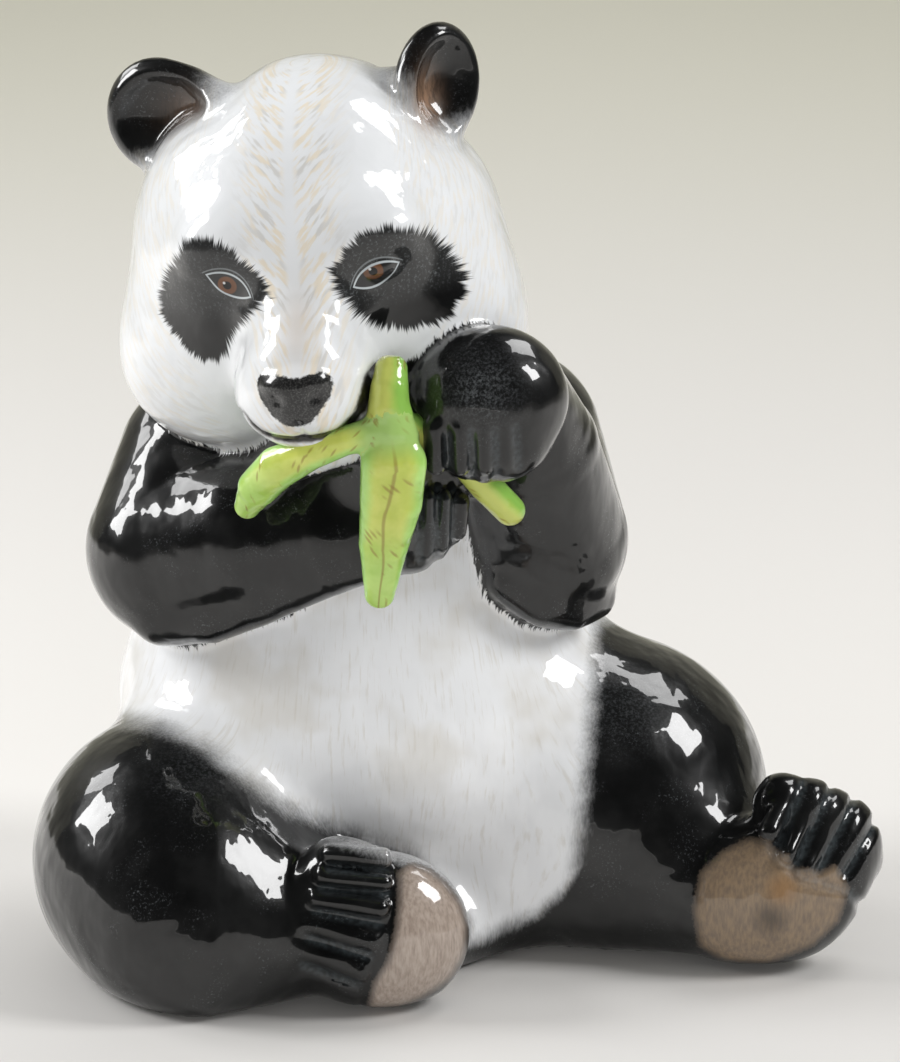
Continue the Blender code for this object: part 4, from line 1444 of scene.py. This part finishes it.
def eye_patches(s, mm, colour):
    """Dark patches, with hairs round the edge, turning solid black towards the bottom; the far patch gets
    more grey specks than the near one, as painted light.
    """
    px, py, apart = s.split(s.place("patch_place"))
    radius = s.calc("MAXIMUM", s.away(px, py), 1.0)
    ring = s.join(s.over(px, radius), s.over(py, radius), apart)
    hairs = s.plus(s.noise(ring, 16.0, 1.0), s.times(s.noise(ring, 48.0, 2.0, 0.7), 1.1))
    hairs = s.times(s.minus(hairs, 1.08), 4.4)
    inside = s.step(s.plus(s.number("patch"), hairs), -0.9, 0.7)
    grain = s.step(s.noise(mm, 1.3, 4.0, 0.7), 0.50, 0.74)
    # painted light: more grey specks on the far patch than the near one, evening out how the lamps light the
    # two
    specks_and_painted_light = s.minus(0.60, s.times(apart, 0.006))
    dark = s.mixed(s.times(grain, specks_and_painted_light), SOFT_BLACK, SPECKLE)
    dark = s.mixed(s.step(py, -1.0, -8.0), dark, BLACK)
    return s.mixed(inside, colour, dark)


def eyes(s, colour):
    """Almond openings with a pale rim, brown iris, black pupil, glint and a thin fold above."""
    ex, ey, off = s.split(s.place("eye"))
    share = s.over(ex, EYE_HALF_LENGTH)
    bow = s.minus(1.0, s.times(share, share))
    opening = s.minus(s.times(bow, EYE_HALF_HEIGHT), s.size(ey))
    by_eye = s.step(off, 9.0, 8.0)
    ix, _, iz = s.split(s.place("iris"))
    from_iris = s.away(ix, iz)
    from_glint = s.away(s.plus(ix, 0.7), s.plus(iz, -0.7))
    eyeball = s.mixed(s.step(from_iris, 2.7, 2.3), SOFT_BLACK, IRIS_BROWN)
    eyeball = s.mixed(s.step(from_iris, 1.25, 1.0), eyeball, PUPIL_BLACK)
    eyeball = s.mixed(s.step(from_glint, 0.45, 0.25), eyeball, GLINT)
    colour = s.mixed(s.times(s.step(opening, 0.0, 0.25), by_eye), colour, eyeball)
    colour = s.mixed(s.times(s.step(s.size(opening), 0.42, 0.16), by_eye), colour, EYE_RIM)
    fold = s.step(s.size(s.plus(opening, 1.25)), 0.34, 0.12)
    fold = s.times(fold, by_eye, s.step(ey, -0.4, 0.4))
    return s.mixed(s.times(fold, 0.45), colour, LID_GREY)


def nose_and_mouth(s, mm, colour):
    ragged = s.times(s.minus(s.noise(mm, 1.2), 0.5), 1.2)
    pores = s.step(s.noise(mm, 1.9, 3.0, 0.7), 0.46, 0.66)
    pad = s.mixed(pores, NOSE_BLACK, NOSE_GREY)
    colour = s.mixed(s.step(s.plus(s.number("nose"), ragged), -0.2, 0.4), colour, pad)
    line = s.minus(s.number("mouth"), s.times(s.noise(mm, 0.5, 1.0), 0.9))
    colour = s.mixed(s.step(line, 1.7, 0.7), colour, LIP_GREY)
    return s.mixed(s.step(line, 1.0, 0.5), colour, LIP_BLACK)


def soles(s, mm, colour):
    """Brown soles with a dark edge; the far one has a dark spot, and a warm one above it."""
    sx, _, sz = s.split(s.place("sole_place"))
    sole = s.number("sole")
    fine = s.step(s.noise(s.scaled(mm, 1.2, 1.2, 0.28), 1.0, 2.0, 0.6), 0.25, 0.8)
    near_sole = s.mixed(fine, NEAR_SOLE_PALE, NEAR_SOLE_DARK)
    far_sole = s.mixed(fine, FAR_SOLE_PALE, FAR_SOLE_DARK)
    far_sole = s.mixed(s.times(s.step(s.away(sx, sz), 7.0, 0.0), 0.7), far_sole, SOLE_SPOT)
    from_warm = s.away(s.plus(sx, -3.0), s.plus(sz, -8.0))
    far_sole = s.mixed(s.times(s.step(from_warm, 6.5, 0.5), 0.65), far_sole, SOLE_ORANGE)
    brown = s.mixed(s.number("far_side"), near_sole, far_sole)
    brown = s.mixed(s.times(s.step(sole, 2.6, 0.0), 0.85), brown, SOLE_EDGE)
    ragged = s.times(s.minus(s.noise(mm, 1.4), 0.5), 1.6)
    return s.mixed(s.step(s.plus(sole, ragged), -0.3, 0.5), colour, brown)


def grooves_and_ears(s, mm, colour):
    """Grey rubbed into the grooves of toes and fingers, brown brushed into the ears."""
    bristle = s.plus(0.35, s.times(s.step(s.noise(mm, 0.8, 1.0, 0.4), 0.30, 0.70), 0.65))
    rubbed = s.times(s.step(s.number("groove"), 0.10, 0.95), bristle, 0.11)
    colour = s.mixed(rubbed, colour, HAIR_GREY)
    streaks = s.step(s.noise(s.scaled(mm, 0.9, 0.9, 0.25), 1.0, 3.0, 0.7), 0.30, 0.62)
    brown = s.times(s.number("ear_brown"), s.plus(0.45, s.times(streaks, 0.55)))
    return s.mixed(brown, colour, EAR_BROWN)


def panda_glaze():
    s = Shader("painted ceramic")
    mm = s.millimetres()
    colour = s.mixed(in_black(s, mm), white_fur(s, mm), black_fur(s, mm))
    colour = eye_patches(s, mm, colour)
    colour = eyes(s, colour)
    colour = nose_and_mouth(s, mm, colour)
    colour = soles(s, mm, colour)
    colour = grooves_and_ears(s, mm, colour)
    # the glaze lies in soft waves over the modelled fur
    waves = s.bump(s.noise(mm, 0.045, 2.0, 0.5, 0.4), 0.0016)
    ripples = s.noise(s.scaled(mm, 0.13, 0.13, 0.07), 1.0)
    s.glazed(colour, s.bump(ripples, 0.00035, waves))
    return s.material


def sprig_glaze():
    s = Shader("green glaze")
    mm = s.millimetres()
    along, across, number = s.split(s.place("leaf"))
    off = s.size(across)
    blade = s.step(along, 4.0, 12.0)
    cloud = s.noise(mm, 0.12, 3.0, 0.6)
    clouded = s.step(cloud, 0.25, 0.75)
    edge = s.step(s.plus(off, s.times(cloud, 0.3)), 0.60, 1.05)
    tip = s.times(s.step(along, 24.0, 42.0), 0.7)
    greener = s.calc("MAXIMUM", edge, tip)
    colour = s.mixed(greener, s.mixed(clouded, *LEAF_YELLOWS), s.mixed(clouded, *LEAF_GREENS))
    colour = s.mixed(s.minus(1.0, blade), colour, JOINT_GREEN)
    shadow_side = s.step(s.plus(across, s.times(cloud, 0.6)), 0.1, 0.9)
    stalk = s.mixed(shadow_side, STALK_YELLOW, STALK_GREEN)
    colour = s.mixed(s.step(number, 1.4, 1.6), colour, stalk)

    # a wandering midrib on the hanging leaf, and short slanting flecks
    bend = s.noise(s.join(s.times(along, 0.06), 0.0), 1.0, 0.0)
    bend = s.times(s.minus(bend, 0.5), 0.5)
    rib = s.step(s.size(s.plus(across, bend)), 0.09, 0.02)
    hanging = s.step(number, 0.6, 0.4)
    colour = s.mixed(s.times(rib, blade, hanging, 0.65), colour, RIB_BROWN)
    slant = s.plus(along, s.times(across, 8.0))
    level = s.minus(s.times(across, 6.0), s.times(along, 0.9))
    flecks = s.strokes(slant, level, length=10.0, width=2.0, share=0.42, thin=0.20)
    inner = s.times(s.step(off, 1.0, 0.75), s.step(s.noise(mm, 0.11, 1.0), 0.45, 0.55))
    colour = s.mixed(s.times(flecks, inner, 0.60), colour, FLECK_BROWN)
    s.glazed(colour, s.bump(s.noise(mm, 0.12), 0.0012))
    return s.material


# The pieces

LOW, HIGH = (np.array(corner) for corner in cad_box)
body_forms = figure_forms()[:-1] + [Form(3.0, sprig_beds())]
sprig_forms = [Form(1.0, sprig_masses(), hollows=stalk_cut())]
panda, panda_points, panda_normals = fine_mesh("panda", sampled(body_forms, GRID_FINE), PANDA_TRIANGLES)
sprig, sprig_points, sprig_normals = fine_mesh(
    "bamboo_sprig", sampled(sprig_forms, GRID_SPRIG), SPRIG_TRIANGLES
)
paint_panda(panda, panda_points)
paint_sprig(sprig, sprig_points)
write_points(panda, squeezed(place(panda_points), LOW, HIGH), panda_normals)
write_points(sprig, place(sprig_points), sprig_normals)
panda.data.materials.append(panda_glaze())
sprig.data.materials.append(sprig_glaze())
for piece in (panda, sprig):
    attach(piece, "root")
    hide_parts("panda_figurine")


# The studio

# Paper under the figure, and far behind it: painted a little darker in front and lighter and yellower far
# behind, as painted shade and painted light
PAPER = (0.66, 0.645, 0.622)
PAPER_NEAR_PAINTED_SHADE = (0.65, 0.637, 0.62)
PAPER_FAR_PAINTED_LIGHT = (0.80, 0.785, 0.675)

# Lamps: degrees round from the front towards the right, degrees up, distance, width and height in metres,
# watts. Softboxes show in the gloss, and fills don't
SOFTBOXES = {
    "left softbox": (-93.0, 27.0, 1.1, 0.36, 0.50, 8.6),
    "right softbox": (80.0, 36.0, 1.15, 0.34, 0.46, 8.2),
    "left rear softbox": (-120.0, 34.0, 1.2, 0.36, 0.44, 3.4),
    "right rear softbox": (124.0, 54.0, 1.2, 0.40, 0.44, 3.6),
}
FILLS = {
    "front fill": (-4.0, 1.0, 1.5, 1.3, 0.8, 12.5),
    "overhead fill": (10.0, 80.0, 1.6, 0.9, 0.9, 0.8),
}
FLOOR_WASH = (180.0, 50.0, 2.0, 1.8, 0.8, 8.0)
LAMP_AIM = Vector((0.0, 0.0, 0.12))

# Light of the room
AIR = (1.0, 0.985, 0.96, 1.0)
AIR_STRENGTH = 0.21

# Camera: degrees above the figure, distance and target in the drawing's millimetres, focal length
CAMERA_ELEVATION = 16.0
CAMERA_DISTANCE = 1400.0
CAMERA_TARGET = np.array([0.0, 0.0, 113.0])
CAMERA_LENS = 178.72
SENSOR_WIDTH = 36.0


def backdrop():
    """A pale floor that sweeps up behind the figure, painted lighter far behind and a little darker in front
    as painted light and shade.
    """
    half, front, back, bend, rise, steps = 5.0, -6.0, 2.0, 0.7, 2.6, 16
    profile = [(front, 0.0), (back, 0.0)]
    for n in range(1, steps + 1):
        a = math.pi / 2.0 * n / steps
        profile.append((back + bend * math.sin(a), bend * (1.0 - math.cos(a))))
    profile.append((back + bend, rise))
    points = [(x, y, z) for y, z in profile for x in (-half, half)]
    faces = [(2 * n, 2 * n + 1, 2 * n + 3, 2 * n + 2) for n in range(len(profile) - 1)]
    mesh = bpy.data.meshes.new("backdrop")
    mesh.from_pydata(points, [], faces)
    mesh.polygons.foreach_set("use_smooth", np.ones(len(faces), bool))
    sheet = bpy.data.objects.new("backdrop", mesh)
    bpy.context.scene.collection.objects.link(sheet)
    s = Shader("paper")
    _, back_from, _ = s.split(s.object_place())
    # painted light and shade: the paper grows lighter and yellower far behind, and a little darker in front
    paper = s.mixed(s.step(back_from, 0.40, 1.50), PAPER, PAPER_FAR_PAINTED_LIGHT)
    paper = s.mixed(s.step(back_from, 0.20, -0.12), paper, PAPER_NEAR_PAINTED_SHADE)
    s.put(s.surface.inputs["Base Color"], paper)
    s.surface.inputs["Roughness"].default_value = 0.7
    s.surface.inputs["Specular IOR Level"].default_value = 0.2
    mesh.materials.append(s.material)


def toward(azimuth, elevation):
    """Direction out from the figure."""
    a, e = math.radians(azimuth), math.radians(elevation)
    return Vector((math.sin(a) * math.cos(e), -math.cos(a) * math.cos(e), math.sin(e)))


def softbox(name, azimuth, elevation, distance, width, height, power):
    """A lamp that faces the figure and isn't seen by the camera."""
    lamp = bpy.data.lights.new(name, "AREA")
    lamp.shape = "RECTANGLE"
    lamp.size, lamp.size_y = width, height
    lamp.energy = power
    holder = bpy.data.objects.new(name, lamp)
    way = toward(azimuth, elevation)
    holder.location = LAMP_AIM + way * distance
    holder.rotation_euler = way.to_track_quat("Z", "Y").to_euler()
    holder.visible_camera = False
    bpy.context.scene.collection.objects.link(holder)
    return holder


def room_light():
    """Even light that doesn't show in the gloss."""
    world = bpy.data.worlds.new("studio")
    bpy.context.scene.world = world
    world.use_nodes = True
    air = world.node_tree.nodes["Background"]
    air.inputs["Color"].default_value = AIR
    air.inputs["Strength"].default_value = AIR_STRENGTH
    world.cycles_visibility.glossy = False


backdrop()
for name, settings in SOFTBOXES.items():
    softbox(name, *settings)
for name, settings in FILLS.items():
    softbox(name, *settings).visible_glossy = False
wash = softbox("floor wash", *FLOOR_WASH)
wash.rotation_euler = (0.0, 0.0, 0.0)
wash.visible_glossy = False
room_light()

lens = bpy.data.cameras.new("camera")
lens.sensor_width = SENSOR_WIDTH
lens.lens = CAMERA_LENS
camera = bpy.data.objects.new("camera", lens)
aim = toward(0.0, CAMERA_ELEVATION)
camera.location = place(CAMERA_TARGET + CAMERA_DISTANCE * np.array(aim))
camera.rotation_euler = aim.to_track_quat("Z", "Y").to_euler()
bpy.context.scene.collection.objects.link(camera)
bpy.context.scene.camera = camera
bpy.context.scene.view_settings.view_transform = "Standard"
